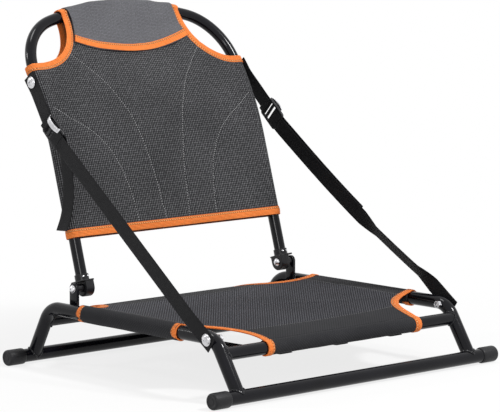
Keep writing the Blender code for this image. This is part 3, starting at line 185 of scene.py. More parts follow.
FRONT = End("front", SIZES.shift_y, math.radians(32.4), 1.0, SIZES.shift_y + 0.120)
REAR = End("rear", SIZES.shift_y + 0.456, math.radians(28.7), -1.0, SIZES.shift_y + 0.340)
DECK_MIDDLE = (FRONT.cross_y + REAR.cross_y) / 2
DECK_HALF = (REAR.cross_y - FRONT.cross_y) / 2


def clamp(value: float) -> float:
    """Keep a value between 0 and 1."""
    return min(max(value, 0.0), 1.0)


def arc(start: float, sweep: float, steps: int) -> list[float]:
    """Angles at even steps of a sweep, with both ends."""
    return [start + sweep * step / steps for step in range(steps + 1)]


def waves(size: float, *place: float) -> float:
    """Smooth noise of a size at a place."""
    return size * noise.noise(Vector(place))


def run_at(path: Sequence[Vector], index: int) -> Vector:
    """Direction of a path at one of its points."""
    return (path[min(index + 1, len(path) - 1)] - path[max(index - 1, 0)]).normalized()


class BackrestSurface:
    """The curved surface that the backrest's tube and cloth follow."""

    def __init__(self) -> None:
        """Work out the arch once."""
        self.arch = self.arch_points(24, 16)

    def profile(self, s: float) -> tuple[float, float, float]:
        """Side view of the backrest at a length from the hinge.

        Args:
            s: length along the backrest.

        Returns:
            Offsets along Y and Z from the hinge, and the lean there.
        """
        z = SIZES
        radius = z.lumbar_length / (z.upper_lean - z.lower_lean)
        lean = z.lower_lean + min(max(s - z.lumbar_start, 0.0), z.lumbar_length) / radius
        low = min(s, z.lumbar_start)
        high = max(s - z.lumbar_start - z.lumbar_length, 0.0)
        across = radius * (math.cos(z.lower_lean) - math.cos(lean))
        rise = radius * (math.sin(lean) - math.sin(z.lower_lean))
        y = low * math.sin(z.lower_lean) + across + high * math.sin(lean)
        return y, low * math.cos(z.lower_lean) + rise + high * math.cos(lean), lean

    def point(self, x: float, s: float, n: float = 0.0) -> Vector:
        """A point x across, s up the backrest and n out of its front face."""
        y, up, lean = self.profile(s)
        return SIZES.hinge + Vector((x, y - n * math.cos(lean), up + n * math.sin(lean)))

    def normal(self, s: float) -> Vector:
        """Direction out of the front face at a length s."""
        lean = self.profile(s)[2]
        return Vector((0.0, -math.cos(lean), math.sin(lean)))

    def along(self, s: float) -> Vector:
        """Direction up the face at a length s."""
        lean = self.profile(s)[2]
        return Vector((0.0, math.sin(lean), math.cos(lean)))

    def arch_points(self, arc_steps: int, crown_steps: int) -> Points:
        """Right half of the arch.

        Args:
            arc_steps: steps round the corner.
            crown_steps: steps along the crown.

        Returns:
            Points (x, s) from the corner's start to the crown's middle.
        """
        radius = SIZES.arch_radius
        points = [(SIZES.back_x - radius + radius * math.cos(a), SIZES.arch_start + radius * math.sin(a))
                  for a in arc(0.0, QUARTER - SIZES.crown_angle, arc_steps)]
        last_x, last_s = points[-1]
        slope = math.tan(SIZES.crown_angle)
        runs = [last_x * step / crown_steps for step in range(1, crown_steps + 1)]
        return points + [(last_x - run, last_s + slope * run - slope * run * run / (2 * last_x)) for run in runs]

    def arch_top(self, x: float) -> float:
        """Length s of the tube's centre line over a place x."""
        return float(np.interp(abs(x), [p[0] for p in self.arch][::-1], [p[1] for p in self.arch][::-1]))

    def arch_out(self, x: float) -> Vector:
        """Direction out of the arch over a place x."""
        step = 0.002
        slope = 0.0
        if abs(x) > step:
            slope = (self.arch_top(abs(x) - step) - self.arch_top(abs(x) + step)) / (2 * step)
        turn = math.atan(slope)
        return self.along(self.arch_top(x)) * math.cos(turn) + X_AXIS * (math.copysign(1.0, x) * math.sin(turn))

    def tube_path(self, foot: float) -> list[Vector]:
        """Centre line of the whole bent tube, from the left leg's foot to the right one's."""
        half = [(SIZES.back_x, s) for s in list(np.linspace(foot, SIZES.arch_start, 44))[:-1]] + self.arch
        return [self.point(x, s) for x, s in [(-x, s) for x, s in half[:-1]] + half[::-1]]


BACK = BackrestSurface()


# Shader node groups and finishes


class Sheet:
    """A node tree with short calls for adding and joining nodes."""

    def __init__(self, tree: bpy.types.NodeTree) -> None:
        """Keep the tree that nodes are added to."""
        self.tree = tree

    def node(self, kind: str, inputs: dict | None = None, **settings: object) -> bpy.types.Node:
        """Add a node.

        Args:
            kind: type of the node, without its prefix.
            inputs: values or sockets for its inputs, by name or number.
            settings: properties of the node.

        Returns:
            The node.
        """
        made = self.tree.nodes.new(kind if kind.startswith("NodeGroup") else f"ShaderNode{kind}")
        for key, value in settings.items():
            setattr(made, key, value)
        self.join(made, inputs or {})
        return made

    def join(self, node: bpy.types.Node, inputs: dict) -> None:
        """Set a node's inputs to values, or join them to sockets."""
        for key, value in inputs.items():
            if isinstance(value, Socket):
                self.tree.links.new(value, node.inputs[key])
            else:
                node.inputs[key].default_value = value

    def group(self, name: str, **inputs: object) -> Outputs:
        """Outputs of a shared group placed in the tree."""
        return self.node("Group", inputs, node_tree=node_group(name)).outputs

    def math(self, operation: str, *values: object) -> Socket:
        """A Math node's result for up to three values or sockets."""
        return self.node("Math", dict(enumerate(values)), operation=operation).outputs[0]

    def blend(self, share: object, first: object, second: object) -> Socket:
        """Mix two colours by a share."""
        return self.node("Mix", {0: share, 6: first, 7: second}, data_type="RGBA").outputs[2]

    def ramp(self, value: Socket, low: float = 0.0, high: float = 1.0, start: float = 0.0,
             end: float = 1.0, **settings: str) -> Socket:
        """Stretch a value's span from low..high to start..end."""
        return self.node("MapRange", {0: value, 1: low, 2: high, 3: start, 4: end}, **settings).outputs[0]

    def noise(self, vector: Socket, scale: object, detail: float, **more: float) -> Socket:
        """A noise over coordinates."""
        return self.node("TexNoise", {"Vector": vector, "Scale": scale, "Detail": detail, **more}).outputs["Fac"]

    def seen(self) -> Socket:
        """One for rays of the camera, also by reflection or through glass."""
        rays = self.node("LightPath").outputs
        total = self.math("ADD", rays["Is Camera Ray"], rays["Is Transmission Ray"])
        return self.math("MINIMUM", self.math("ADD", total, rays["Is Glossy Ray"]), 1.0)


def build_grain(sheet: Sheet, entry: Outputs) -> dict[str, Socket]:
    """Fine grain and slow wear: two noises over the surface."""
    return {"Fine": sheet.ramp(sheet.noise(entry["Vector"], entry["Fine"], 3.0), 0.3, 0.7),
            "Slow": sheet.ramp(sheet.noise(entry["Vector"], entry["Slow"], 4.0), 0.35, 0.65)}


def build_edge_wear(sheet: Sheet, entry: Outputs) -> dict[str, Socket]:
    """A mask of edges that stand out, broken up by noise."""
    edge = sheet.ramp(sheet.node("NewGeometry").outputs["Pointiness"], 0.58, 0.70)
    return {"Mask": sheet.math("MULTIPLY", edge, sheet.ramp(sheet.noise(entry["Vector"], 240.0, 4.0), 0.45, 0.6))}


def build_weave(sheet: Sheet, entry: Outputs) -> dict[str, Socket]:
    """Two crossing sets of round threads, turned and scaled over the cloth."""
    turned = sheet.node("VectorRotate", {"Vector": entry["Vector"], "Angle": entry["Turn"]}, rotation_type="Z_AXIS")
    split = sheet.node("SeparateXYZ", {0: turned.outputs[0]}).outputs
    rate = sheet.math("DIVIDE", math.pi, entry["Pitch"])
    phases = [sheet.math("MULTIPLY", split[axis], rate) for axis in (0, 1)]
    warp, weft = (sheet.math("ABSOLUTE", sheet.math("SINE", phase)) for phase in phases)
    over = sheet.ramp(sheet.math("MULTIPLY", *(sheet.math("COSINE", phase) for phase in phases)), -0.3, 0.3)
    under = sheet.math("MULTIPLY", weft, sheet.math("SUBTRACT", 1.0, over))
    return {"Height": sheet.math("ADD", sheet.math("MULTIPLY", warp, over), under),
            "Dot": sheet.math("MULTIPLY", warp, sheet.math("MULTIPLY_ADD", weft, 0.6, 0.4)), "Rib": warp}


def build_stitch(sheet: Sheet, entry: Outputs) -> dict[str, Socket]:
    """Dashes of thread along a sewn line, and a mask of painted shade in the groove along it, from the distance to it.
    """
    rate = sheet.math("DIVIDE", TURN, entry["Pitch"])
    dash = sheet.ramp(sheet.math("SINE", sheet.math("MULTIPLY", entry["Along"], rate)), -0.1, 0.4)
    away = sheet.math("ABSOLUTE", entry["Distance"])
    return {"Mask": sheet.math("MULTIPLY", dash, sheet.ramp(away, 0.0008, 0.0003)),
            "GrooveShade": sheet.ramp(away, 0.0018, 0.0003)}


GROUPS = {
    "surface_grain": ({"Vector": None, "Fine": 900.0, "Slow": 18.0}, build_grain),
    "edge_wear": ({"Vector": None}, build_edge_wear),
    "thread_weave": ({"Vector": None, "Pitch": 0.0016, "Turn": 0.0}, build_weave),
    "stitch_dashes": ({"Along": 0.0, "Distance": 0.0, "Pitch": 0.004}, build_stitch),
}


@cache
def node_group(name: str) -> bpy.types.NodeTree:
    """A shared node group, made the first time it is asked for.

    Args:
        name: its name in GROUPS, where an input without a start value is a vector.

    Returns:
        The group, whose outputs are numbers.
    """
    inputs, build = GROUPS[name]
    tree = bpy.data.node_groups.new(name, "ShaderNodeTree")
    for label, value in inputs.items():
        kind = "NodeSocketVector" if value is None else "NodeSocketFloat"
        socket = tree.interface.new_socket(label, in_out="INPUT", socket_type=kind)
        if value is not None:
            socket.default_value = value
    sheet = Sheet(tree)
    made = build(sheet, sheet.node("NodeGroupInput").outputs)
    for label in made:
        tree.interface.new_socket(label, in_out="OUTPUT", socket_type="NodeSocketFloat")
    sheet.node("NodeGroupOutput", made)
    return tree


@dataclass(frozen=True)
class Finish:
    """A finish: its slot, colour and gloss. The kinds below add their own detail."""

    slot: Slot
    color: Color
    roughness: float

    def detail(self, sheet: Sheet) -> dict[str, object]:
        """Values and sockets of the shader's inputs."""
        raise NotImplementedError

    def rgba(self, factor: float = 1.0) -> tuple[float, ...]:
        """The colour, made lighter or darker."""
        return (*(factor * part for part in self.color), 1.0)

    def bump(self, sheet: Sheet, height: Socket, strength: float,
             distance: float) -> Socket:
        """A normal from a height."""
        return sheet.node("Bump", {"Height": height, "Strength": strength, "Distance": distance}).outputs[0]


@dataclass(frozen=True)
class HardFinish(Finish):
    """Paint, moulded plastic or plated steel: grain, uneven tone and gloss, and rubbed edges."""

    fine: float
    slow: float
    tone: tuple[float, float]
    gloss: tuple[float, float]
    relief: float
    wear: float = 0.0
    worn: Color = (0.35, 0.35, 0.36)
    sockets: dict[str, float] = field(default_factory=dict)

    def detail(self, sheet: Sheet) -> dict[str, object]:
        """Join colour, uneven gloss, edge wear and grain."""
        place = sheet.node("TexCoord").outputs["Object"]
        grain = sheet.group("surface_grain", Vector=place, Fine=self.fine, Slow=self.slow)
        tone = sheet.blend(grain["Slow"], *(self.rgba(factor) for factor in self.tone))
        rubbed = sheet.math("MULTIPLY", sheet.group("edge_wear", Vector=place)["Mask"], self.wear)
        gloss = [self.roughness * factor for factor in self.gloss]
        return {"Base Color": sheet.blend(rubbed, tone, (*self.worn, 1.0)),
                "Roughness": sheet.ramp(grain["Slow"], start=gloss[0], end=gloss[1]),
                "Normal": self.bump(sheet, grain["Fine"], self.relief, 0.0002), **self.sockets}


@dataclass(frozen=True)
class ClothFinish(Finish):
    """Woven cloth: crossing threads, uneven tone, sewn lines with painted shade in their grooves, and a soft sheen."""

    thread: Color
    pitch: float
    turn: float = 0.0
    relief: float = 0.5
    crumple: float = 0.0
    stitch_color: Color = (0.05, 0.05, 0.05)
    stitch_pitch: float = 0.0045
    sheen: float = 0.03
    band: Color = (0.02, 0.02, 0.02)

    def detail(self, sheet: Sheet) -> dict[str, object]:
        """Join thread colours, plain bands, sewn lines with painted shade along them, weave height and slow creases."""
        place = sheet.node("Attribute", attribute_name="place").outputs["Vector"]
        solid = sheet.node("TexCoord").outputs["Object"]
        seam = sheet.node("Attribute", attribute_name="seam").outputs["Fac"]
        split = sheet.node("SeparateXYZ", {0: place}).outputs
        weave = sheet.group("thread_weave", Vector=place, Pitch=self.pitch, Turn=self.turn)
        grain = sheet.group("surface_grain", Vector=solid, Fine=320.0, Slow=11.0)
        along = sheet.math("ADD", split[1], sheet.math("ABSOLUTE", split[0]))
        stitch = sheet.group("stitch_dashes", Along=along, Distance=seam, Pitch=self.stitch_pitch)
        dots = sheet.ramp(weave["Dot"], 0.25, 0.85)
        flecks = sheet.ramp(sheet.noise(place, 1 / self.pitch, 2.0), 0.35, 0.62)
        lit = sheet.math("MULTIPLY", dots, sheet.ramp(flecks, start=0.45))
        tone = sheet.blend(lit, self.rgba(), (*self.thread, 1.0))
        tone = sheet.blend(sheet.ramp(weave["Rib"], 0.0, 0.5), self.rgba(0.3), tone)
        banded = sheet.ramp(split[2], 0.4, 0.6)
        plain = replace(self, color=self.band)
        tone = sheet.blend(banded, tone, sheet.blend(sheet.math("MULTIPLY", dots, 0.5), plain.rgba(), plain.rgba(2.2)))
        # the fine and slow grain vary the tone at random; the last mask is painted shade, colour darkened in the groove
        # along each sewn line
        for mask, share, factor in ((grain["Fine"], 0.3, 1.6), (grain["Slow"], 0.25, 0.6),
                                    (stitch["GrooveShade"], 0.75, 0.25)):
            tone = sheet.blend(sheet.math("MULTIPLY", mask, share), tone, self.rgba(factor))
        creases = sheet.math("MULTIPLY", sheet.noise(solid, 38.0, 3.0, Distortion=0.6), self.crumple * 12.0)
        height = sheet.math("MULTIPLY", weave["Height"], sheet.math("MULTIPLY_ADD", banded, -0.7, 1.0))
        for more in (creases, sheet.math("MULTIPLY", stitch["Mask"], 0.8)):
            height = sheet.math("ADD", height, more)
        return {"Base Color": sheet.blend(stitch["Mask"], tone, (*self.stitch_color, 1.0)),
                "Roughness": sheet.ramp(weave["Height"], start=1.0, end=self.roughness),
                "Normal": self.bump(sheet, height, self.relief, 0.0004),
                "Sheen Weight": self.sheen, "Sheen Roughness": 0.5, "Specular IOR Level": 0.12}


PAINT = HardFinish(Slot.FRAME, (0.004, 0.004, 0.006), 0.16, fine=260.0, slow=14.0, tone=(0.8, 1.3),
                   gloss=(0.8, 1.35), relief=0.03, wear=0.35,
                   sockets={"Specular IOR Level": 0.10, "Coat Weight": 0.22, "Coat Roughness": 0.03})
PLASTIC = HardFinish(Slot.CAP, (0.011, 0.011, 0.0125), 0.45, fine=1500.0, slow=30.0, tone=(0.75, 1.35),
                     gloss=(0.85, 1.2), relief=0.35, wear=0.4, worn=(0.12, 0.12, 0.12),
                     sockets={"Specular IOR Level": 0.25})
FINISHES: dict[str, Finish] = {
    "gloss_black_paint": PAINT,
    "weld_paint": replace(PAINT, color=(0.012, 0.012, 0.014), roughness=0.25, relief=0.4),
    "matt_cap_plastic": PLASTIC,
    "satin_black_moulding": replace(PLASTIC, slot=Slot.MOULDING, color=(0.010, 0.010, 0.012), roughness=0.3,
                                    relief=0.2),
    "zinc_steel": HardFinish(Slot.STEEL, (0.72, 0.72, 0.74), 0.24, fine=1200.0, slow=160.0, tone=(0.7, 1.1),
                             gloss=(0.7, 1.6), relief=0.15, sockets={"Metallic": 1.0}),
    "seat_mesh": ClothFinish(Slot.MESH_CLOTH, (0.006, 0.0062, 0.0085), 0.75, (0.12, 0.12, 0.138), 0.0034,
                             turn=math.radians(42), crumple=0.06, stitch_color=(0.26, 0.26, 0.265),
                             band=(0.024, 0.024, 0.026)),
    "cover_mesh": ClothFinish(Slot.MESH_CLOTH, (0.006, 0.0062, 0.0072), 0.75, (0.215, 0.215, 0.225), 0.0034,
                              crumple=0.05, stitch_color=(0.40, 0.40, 0.41)),
    "flap_cloth_grey": ClothFinish(Slot.FLAP_CLOTH, (0.085, 0.085, 0.093), 0.8, (0.26, 0.26, 0.28), 0.0024,
                                   crumple=0.9, relief=0.7),
    "orange_binding": ClothFinish(Slot.BINDING, (0.84, 0.18, 0.03), 0.6, (1.0, 0.38, 0.11), 0.0020, crumple=0.35,
                                  stitch_color=(1.0, 0.55, 0.24), relief=0.7, sheen=0.05, stitch_pitch=0.0040),
    "black_webbing": ClothFinish(Slot.WEBBING, (0.004, 0.004, 0.005), 0.45, (0.011, 0.011, 0.013), 0.0014,
                                 relief=0.7, sheen=0.05),
}


@cache
def material(name: str) -> bpy.types.Material:
    """The material of a finish, made the first time it is asked for."""
    made = bpy.data.materials.new(name)
    made.use_nodes = True
    sheet = Sheet(made.node_tree)
    sheet.join(made.node_tree.nodes["Principled BSDF"], FINISHES[name].detail(sheet))
    return made


# Making pieces


def circle(radius: float, sides: int = 40) -> Points:
    """A round ring."""
    return [(radius * math.cos(a), radius * math.sin(a)) for a in arc(0.0, TURN, sides)[:-1]]


def flat_oval(width: float, thickness: float) -> Points:
    """A flattened ring: width in the first direction, thickness in the second."""
    sides, power = 28, 2 / 5.0
    return [tuple(size / 2 * math.copysign(abs(part) ** power, part)
                  for size, part in ((width, math.cos(angle)), (thickness, math.sin(angle))))
            for angle in (TURN * (i + 0.5) / sides for i in range(sides))]


def frames_on(path: Sequence[Vector], across: Vector | None = None) -> list[Frame]:
    """Frames of least twist along a path.

    Args:
        path: points of the path.
        across: first sideways direction, or None for any.

    Returns:
        For each point the point and two directions square to the path.
    """
    side = across or (X_AXIS if abs((path[1] - path[0]).normalized().x) < 0.9 else UP)
    frames = []
    for index, point in enumerate(path):
        run = run_at(path, index)
        side = (side - run * side.dot(run)).normalized()
        frames.append((point, side.copy(), run.cross(side)))
    return frames


def add_object(name: str, data: bpy.types.ID) -> bpy.types.Object:
    """Put an object with its data in the scene."""
    item = bpy.data.objects.new(name, data)
    bpy.context.scene.collection.objects.link(item)
    return item


class Mould:
    """A piece in the making: a bmesh with the few operations that the seat's pieces need."""

    def __init__(self, name: str) -> None:
        """Start an empty piece with the name of the finished object."""
        self.name = name
        self.data = bmesh.new()
        self.place = self.data.verts.layers.float_vector.new("place")
        self.seam = self.data.verts.layers.float.new("seam")

    def sweep(self, profile: Pairs, frames: Sequence[Frame], closed: bool = False,
              size: Callable[[float], float] | None = None) -> None:
        """Extrude a ring along frames, one step at a time.

        Args:
            profile: closed ring of points in the frames' two directions.
            frames: where each copy of the ring stands.
            closed: whether the last ring joins the first.
            size: size of the ring at a share of the way, or None for full size.
        """
        data = self.data
        reach = 0.0
        ring = [data.verts.new() for _ in profile]
        edges = [data.edges.new((ring[i], ring[(i + 1) % len(ring)])) for i in range(len(ring))]
        first = list(edges)
        for index, frame in enumerate(frames):
            if index:
                reach += (frame[0] - frames[index - 1][0]).length
                grown = bmesh.ops.extrude_edge_only(data, edges=edges)["geom"]
                fresh = {item for item in grown if isinstance(item, bmesh.types.BMVert)}
                ring = [next(edge.other_vert(vertex) for edge in vertex.link_edges
                             if edge.other_vert(vertex) in fresh) for vertex in ring]
                edges = [item for item in grown if isinstance(item, bmesh.types.BMEdge)
                         and item.verts[0] in fresh and item.verts[1] in fresh]
            scale = size(index / (len(frames) - 1)) if size else 1.0
            for vertex, (a, b) in zip(ring, profile):
                vertex.co = frame[0] + frame[1] * (a * scale) + frame[2] * (b * scale)
                vertex[self.place] = (a, reach, b)
                vertex[self.seam] = FAR
        if closed:
            bmesh.ops.bridge_loops(data, edges=first + edges)
        else:
            bmesh.ops.edgeloop_fill(data, edges=first)
            bmesh.ops.edgeloop_fill(data, edges=edges)

    def lathe(self, outline: Pairs, base: Vector, axis: Vector, sides: int) -> None:
        """Spin an outline of (height, radius) points round an axis.

        Args:
            outline: points from one end of the axis to the other.
            base: where height is nought.
            axis: direction of growing height.
            sides: facets round the axis.
        """
        data = self.data
        turn = UP.rotation_difference(axis.normalized()).to_matrix().to_4x4()
        old = set(data.verts)
        line = [data.verts.new((radius, 0.0, height)) for height, radius in outline]
        edges = [data.edges.new(pair) for pair in zip(line, line[1:])]
        bmesh.ops.spin(data, geom=edges + line, cent=(0, 0, 0), axis=(0, 0, 1), angle=TURN, steps=sides,
                       use_merge=True, use_duplicate=False)
        bmesh.ops.remove_doubles(data, verts=[v for v in data.verts if v not in old], dist=1e-6)
        fresh = [v for v in data.verts if v not in old]
        bmesh.ops.transform(data, matrix=Matrix.Translation(base) @ turn, verts=fresh)

    def plate(self, outline: Sequence[Vector], depth: Vector, bevel: float, segments: int = 3) -> None:
        """Extrude a flat outline and round its edges.

        Args:
            outline: corners of the face.
            depth: from the face to the opposite one.
            bevel: width of the rounded edges.
            segments: steps of the rounding.
        """
        data = self.data
        face = data.faces.new([data.verts.new(corner) for corner in outline])
        grown = bmesh.ops.extrude_face_region(data, geom=[face])["geom"]
        fresh = [item for item in grown if isinstance(item, bmesh.types.BMVert)]
        bmesh.ops.translate(data, vec=depth, verts=fresh)
        caps = [face] + [item for item in grown if isinstance(item, bmesh.types.BMFace)]
        rim = {edge for cap in caps for edge in cap.edges}
        bmesh.ops.bevel(data, geom=list(rim), offset=bevel, affect="EDGES", segments=segments, profile=0.5,
                        material=-1)

    def patch(self, columns: int, rows: int, surface: Callable[[float, float], Vector],
              place: Callable[[float, float], tuple[float, ...]],
              seam: Callable[[float, float], float] = lambda u, v: FAR) -> None:
        """Lay a grid over a surface.

        Args:
            columns: cells along the first share.
            rows: cells along the second share.
            surface: surface point for two shares from 0 to 1.
            place: cloth coordinates in metres for the two shares, and 1 as a third where the cloth is plain.
            seam: signed distance to the nearest sewn line for the two shares.
        """
        made = bmesh.ops.create_grid(self.data, x_segments=columns, y_segments=rows, size=0.5)["verts"]
        for vertex in made:
            u, v = vertex.co.x + 0.5, vertex.co.y + 0.5
            vertex.co = surface(u, v)
            vertex[self.place] = (*place(u, v), 0.0)[:3]
            vertex[self.seam] = seam(u, v)

    def mark_seam(self, line: float) -> None:
        """Mark a sewn line at a distance from a tape's middle."""
        for vertex in self.data.verts:
            vertex[self.seam] = vertex[self.place].x - line

    def finish(self, finish: str, body: Body | None, *nodes: str, weld: float = 1e-6, shell: bool = True,
               sheet: tuple[float, float] | None = None) -> bpy.types.Object:
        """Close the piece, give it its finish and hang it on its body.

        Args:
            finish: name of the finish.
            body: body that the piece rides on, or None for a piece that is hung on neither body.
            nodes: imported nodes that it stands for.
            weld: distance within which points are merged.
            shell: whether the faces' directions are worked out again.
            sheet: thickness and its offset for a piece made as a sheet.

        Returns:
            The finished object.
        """
        bmesh.ops.remove_doubles(self.data, verts=self.data.verts[:], dist=weld)
        if shell:
            bmesh.ops.recalc_face_normals(self.data, faces=self.data.faces[:])
        mesh = bpy.data.meshes.new(self.name)
        self.data.to_mesh(mesh)
        self.data.free()
        piece = add_object(self.name, mesh)
        mesh.materials.append(material(finish))
        mesh.shade_smooth()
        mesh.set_sharp_from_angle(angle=math.radians(40))
        if body:
            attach(piece, body.value)
        if nodes:
            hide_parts(*nodes)
        if sheet:
            step = piece.modifiers.new("thickness", "SOLIDIFY")
            step.thickness, step.offset = sheet
            step.use_even_offset = False
        LOG.info("%s: %d faces on %s", self.name, len(mesh.polygons), body.value if body else "both bodies")
        return piece


def make_tube(name: str, path: Sequence[Vector], radius: float, body: Body, node: str, sides: int = 48) -> None:
    """Make a painted tube.

    Args:
        name: name of the piece.
        path: points of its centre line.
        radius: outer radius.
        body: body that it rides on.
        node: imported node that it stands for.
        sides: facets round it.
    """
    tube = Mould(name)
    tube.sweep(circle(radius, sides), frames_on(path))
    tube.finish("gloss_black_paint", body, node)


def make_turned(name: str, base: Vector, axis: Vector, finish: str, body: Body, node: str,
                *outlines: tuple[Pairs, int]) -> None:
    """Make a piece of outlines turned about one axis.

    Args:
        name: name of the piece.
        base: where the outlines' heights are nought.
        axis: direction of growing height.
        finish: name of the finish.
        body: body that it rides on.
        node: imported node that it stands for.
        outlines: each outline of (height, radius) points with its number of facets.
    """
    piece = Mould(name)
    for outline, sides in outlines:
        piece.lathe(outline, base, axis, sides)
    piece.finish(finish, body, node)


def joined_distance(gaps: Sequence[float]) -> float:
    """One signed distance for several lines, smooth between them and nought on each."""
    product = math.prod(gaps)
    rest = sum(abs(product / gap) if abs(gap) > 1e-9 else math.prod(abs(g) for g in gaps if g is not gap)
               for gap in gaps)
    return product / max(rest, 1e-12)


# Base frame


@dataclass
class BaseFrame:
    """Foot tubes, caps, bent side rails, cross tubes and the welds between them."""

    cap_length: float = 0.030
    tube_in_cap: float = 0.004
    bead: float = 0.0017
    bead_steps: int = 72
    bead_ripples: int = 24
    bead_swell: float = 0.18
    foot_bead_lift: float = 0.0006
    cross_bead_lift: float = 0.0004

    def build(self) -> None:
        """Build every piece of the base frame."""
        for end in (FRONT, REAR):
            self.foot(end)
        for side, sign in SIDES:
            make_tube(f"{side}_side_tube", self.rail_path(sign * SIZES.rail_x), SIZES.tube_r, Body.BASE,
                      f"side_rail_{side}")
        for end in (FRONT, REAR):
            path = [Vector((x, end.cross_y, SIZES.cross_z)) for x in (-SIZES.rail_x, -0.1, 0.1, SIZES.rail_x)]
            make_tube(f"{end.name}_cross_bar", path, SIZES.cross_r, Body.BASE, f"{end.name}_cross_tube")
        self.welds()

    def foot(self, end: End) -> None:
        """One foot tube with its two moulded caps."""
        half, long = SIZES.foot_span / 2, self.cap_length
        tip = half - self.tube_in_cap
        path = [Vector((x, end.foot_y, SIZES.foot_z)) for x in (-tip, 0.03 - half, 0.0, half - 0.03, tip)]
        make_tube(f"{end.name}_foot_bar", path, SIZES.tube_r, Body.BASE, f"{end.name}_foot_tube")
        r = SIZES.cap_r * 0.995
        outline = [(0.0, 0.0), (0.0, r * 0.35), (0.0004, r * 0.38), (0.0004, r * 0.62), (0.0, r * 0.66),
                   (0.0, r - 0.0022), (0.0006, r - 0.0010), (0.0018, r - 0.0003), (0.0034, r), (long - 0.0030, r),
                   (long - 0.0012, r - 0.0004), (long, r - 0.0014), (long, SIZES.tube_r + 0.0001)]
        for side, sign in SIDES:
            make_turned(f"{end.name}_{side}_end_cap", Vector((sign * half, end.foot_y, SIZES.foot_z)), X_AXIS * -sign,
                        "matt_cap_plastic", Body.BASE, f"foot_cap_{end.name}_{side}", (outline, 56))

    def rail_path(self, x: float) -> list[Vector]:
        """Centre line of one side rail from foot to foot."""
        foot, heel = (Vector((x, end.foot_y, SIZES.foot_z)) for end in (FRONT, REAR))
        front, rear = (Vector((x, end.leg_y(SIZES.rail_z), SIZES.rail_z)) for end in (FRONT, REAR))
        return [foot, *self.bend(front, foot, rear), *self.bend(rear, front, heel), heel]

    def bend(self, corner: Vector, before: Vector, after: Vector) -> list[Vector]:
        """Points of the arc that rounds a corner of the rail."""
        arriving = (before - corner).normalized()
        leaving = (after - corner).normalized()
        half = arriving.angle(leaving) / 2
        start = corner + arriving * (SIZES.rail_bend / math.tan(half))
        centre = corner + (arriving + leaving).normalized() * (SIZES.rail_bend / math.sin(half))
        normal = (start - centre).cross(corner - centre).normalized()
        return [centre + Matrix.Rotation(a, 3, normal) @ (start - centre) for a in arc(0.0, math.pi - 2 * half, 20)]

    def welds(self) -> None:
        """Rippled weld beads where the tubes meet."""
        z = SIZES
        beads = Mould("weld_beads")
        turns = arc(0.0, TURN, self.bead_steps)[:-1]
        for sign in (-1.0, 1.0):
            for end in (FRONT, REAR):
                second = end.way.cross(X_AXIS)
                foot = Vector((sign * z.rail_x, end.foot_y, z.foot_z))
                self.bead_ring(beads, [foot + end.way * (z.tube_r * abs(math.cos(a)) + self.foot_bead_lift)
                                       + X_AXIS * (z.tube_r * math.cos(a)) + second * (z.tube_r * math.sin(a))
                                       for a in turns])
                leg = Vector((sign * z.rail_x, end.cross_y, z.cross_z))
                reaches = [math.sqrt(z.tube_r ** 2 - (z.cross_r * math.sin(a)) ** 2) + self.cross_bead_lift
                           for a in turns]
                self.bead_ring(beads, [leg - X_AXIS * (sign * reach) + end.way * (z.cross_r * math.cos(a))
                                       + second * (z.cross_r * math.sin(a)) for a, reach in zip(turns, reaches)])
        beads.finish("weld_paint", Body.BASE)

    def bead_ring(self, beads: Mould, ring: Sequence[Vector]) -> None:
        """One closed bead along a ring of points."""
        frames = []
        middle = sum(ring, Vector()) / len(ring)
        for i, point in enumerate(ring):
            run = (ring[(i + 1) % len(ring)] - ring[i - 1]).normalized()
            out = point - middle
            out = (out - run * out.dot(run)).normalized()
            frames.append((point, out, run.cross(out)))
        beads.sweep(circle(self.bead, 8), frames, closed=True,
                    size=lambda share: 1.0 + self.bead_swell * math.sin(share * self.bead_ripples * TURN))


# Hinges and bolts


def domed_head(radius: float, height: float, rim: float) -> Points:
    """Outline of a domed bolt head with a socket in its top, from its seat up."""
    rise = height - rim
    return [(0.0, 0.0), (0.0, radius - 0.0003), (0.0002, radius), (rim - 0.0003, radius), (rim, radius - 0.0003),
            (rim, radius * 0.88),
            *((rim + rise * math.sin(a), radius * 0.86 * math.cos(a)) for a in arc(0.0, QUARTER, 9)[1:8]),
            (rim + rise * 0.97, radius * 0.24), (rim + rise * 0.55, radius * 0.20), (rim + rise * 0.5, 0.0)]


def shank(depth: float, radius: float, above: float) -> Points:
    """Outline of a bolt's shank."""
    return [(-depth, 0.0), (-depth, radius), (above, radius), (above, 0.0)]


def ring_outline(inner: float, outer: float, start: float, end: float) -> Points:
    """Outline of a ring with softened corners, which closes on itself."""
    soft = 0.0006
    return [(start, inner), (start, outer - soft), (start + soft, outer), (end - soft, outer), (end, outer - soft),
            (end, inner), (start, inner)]


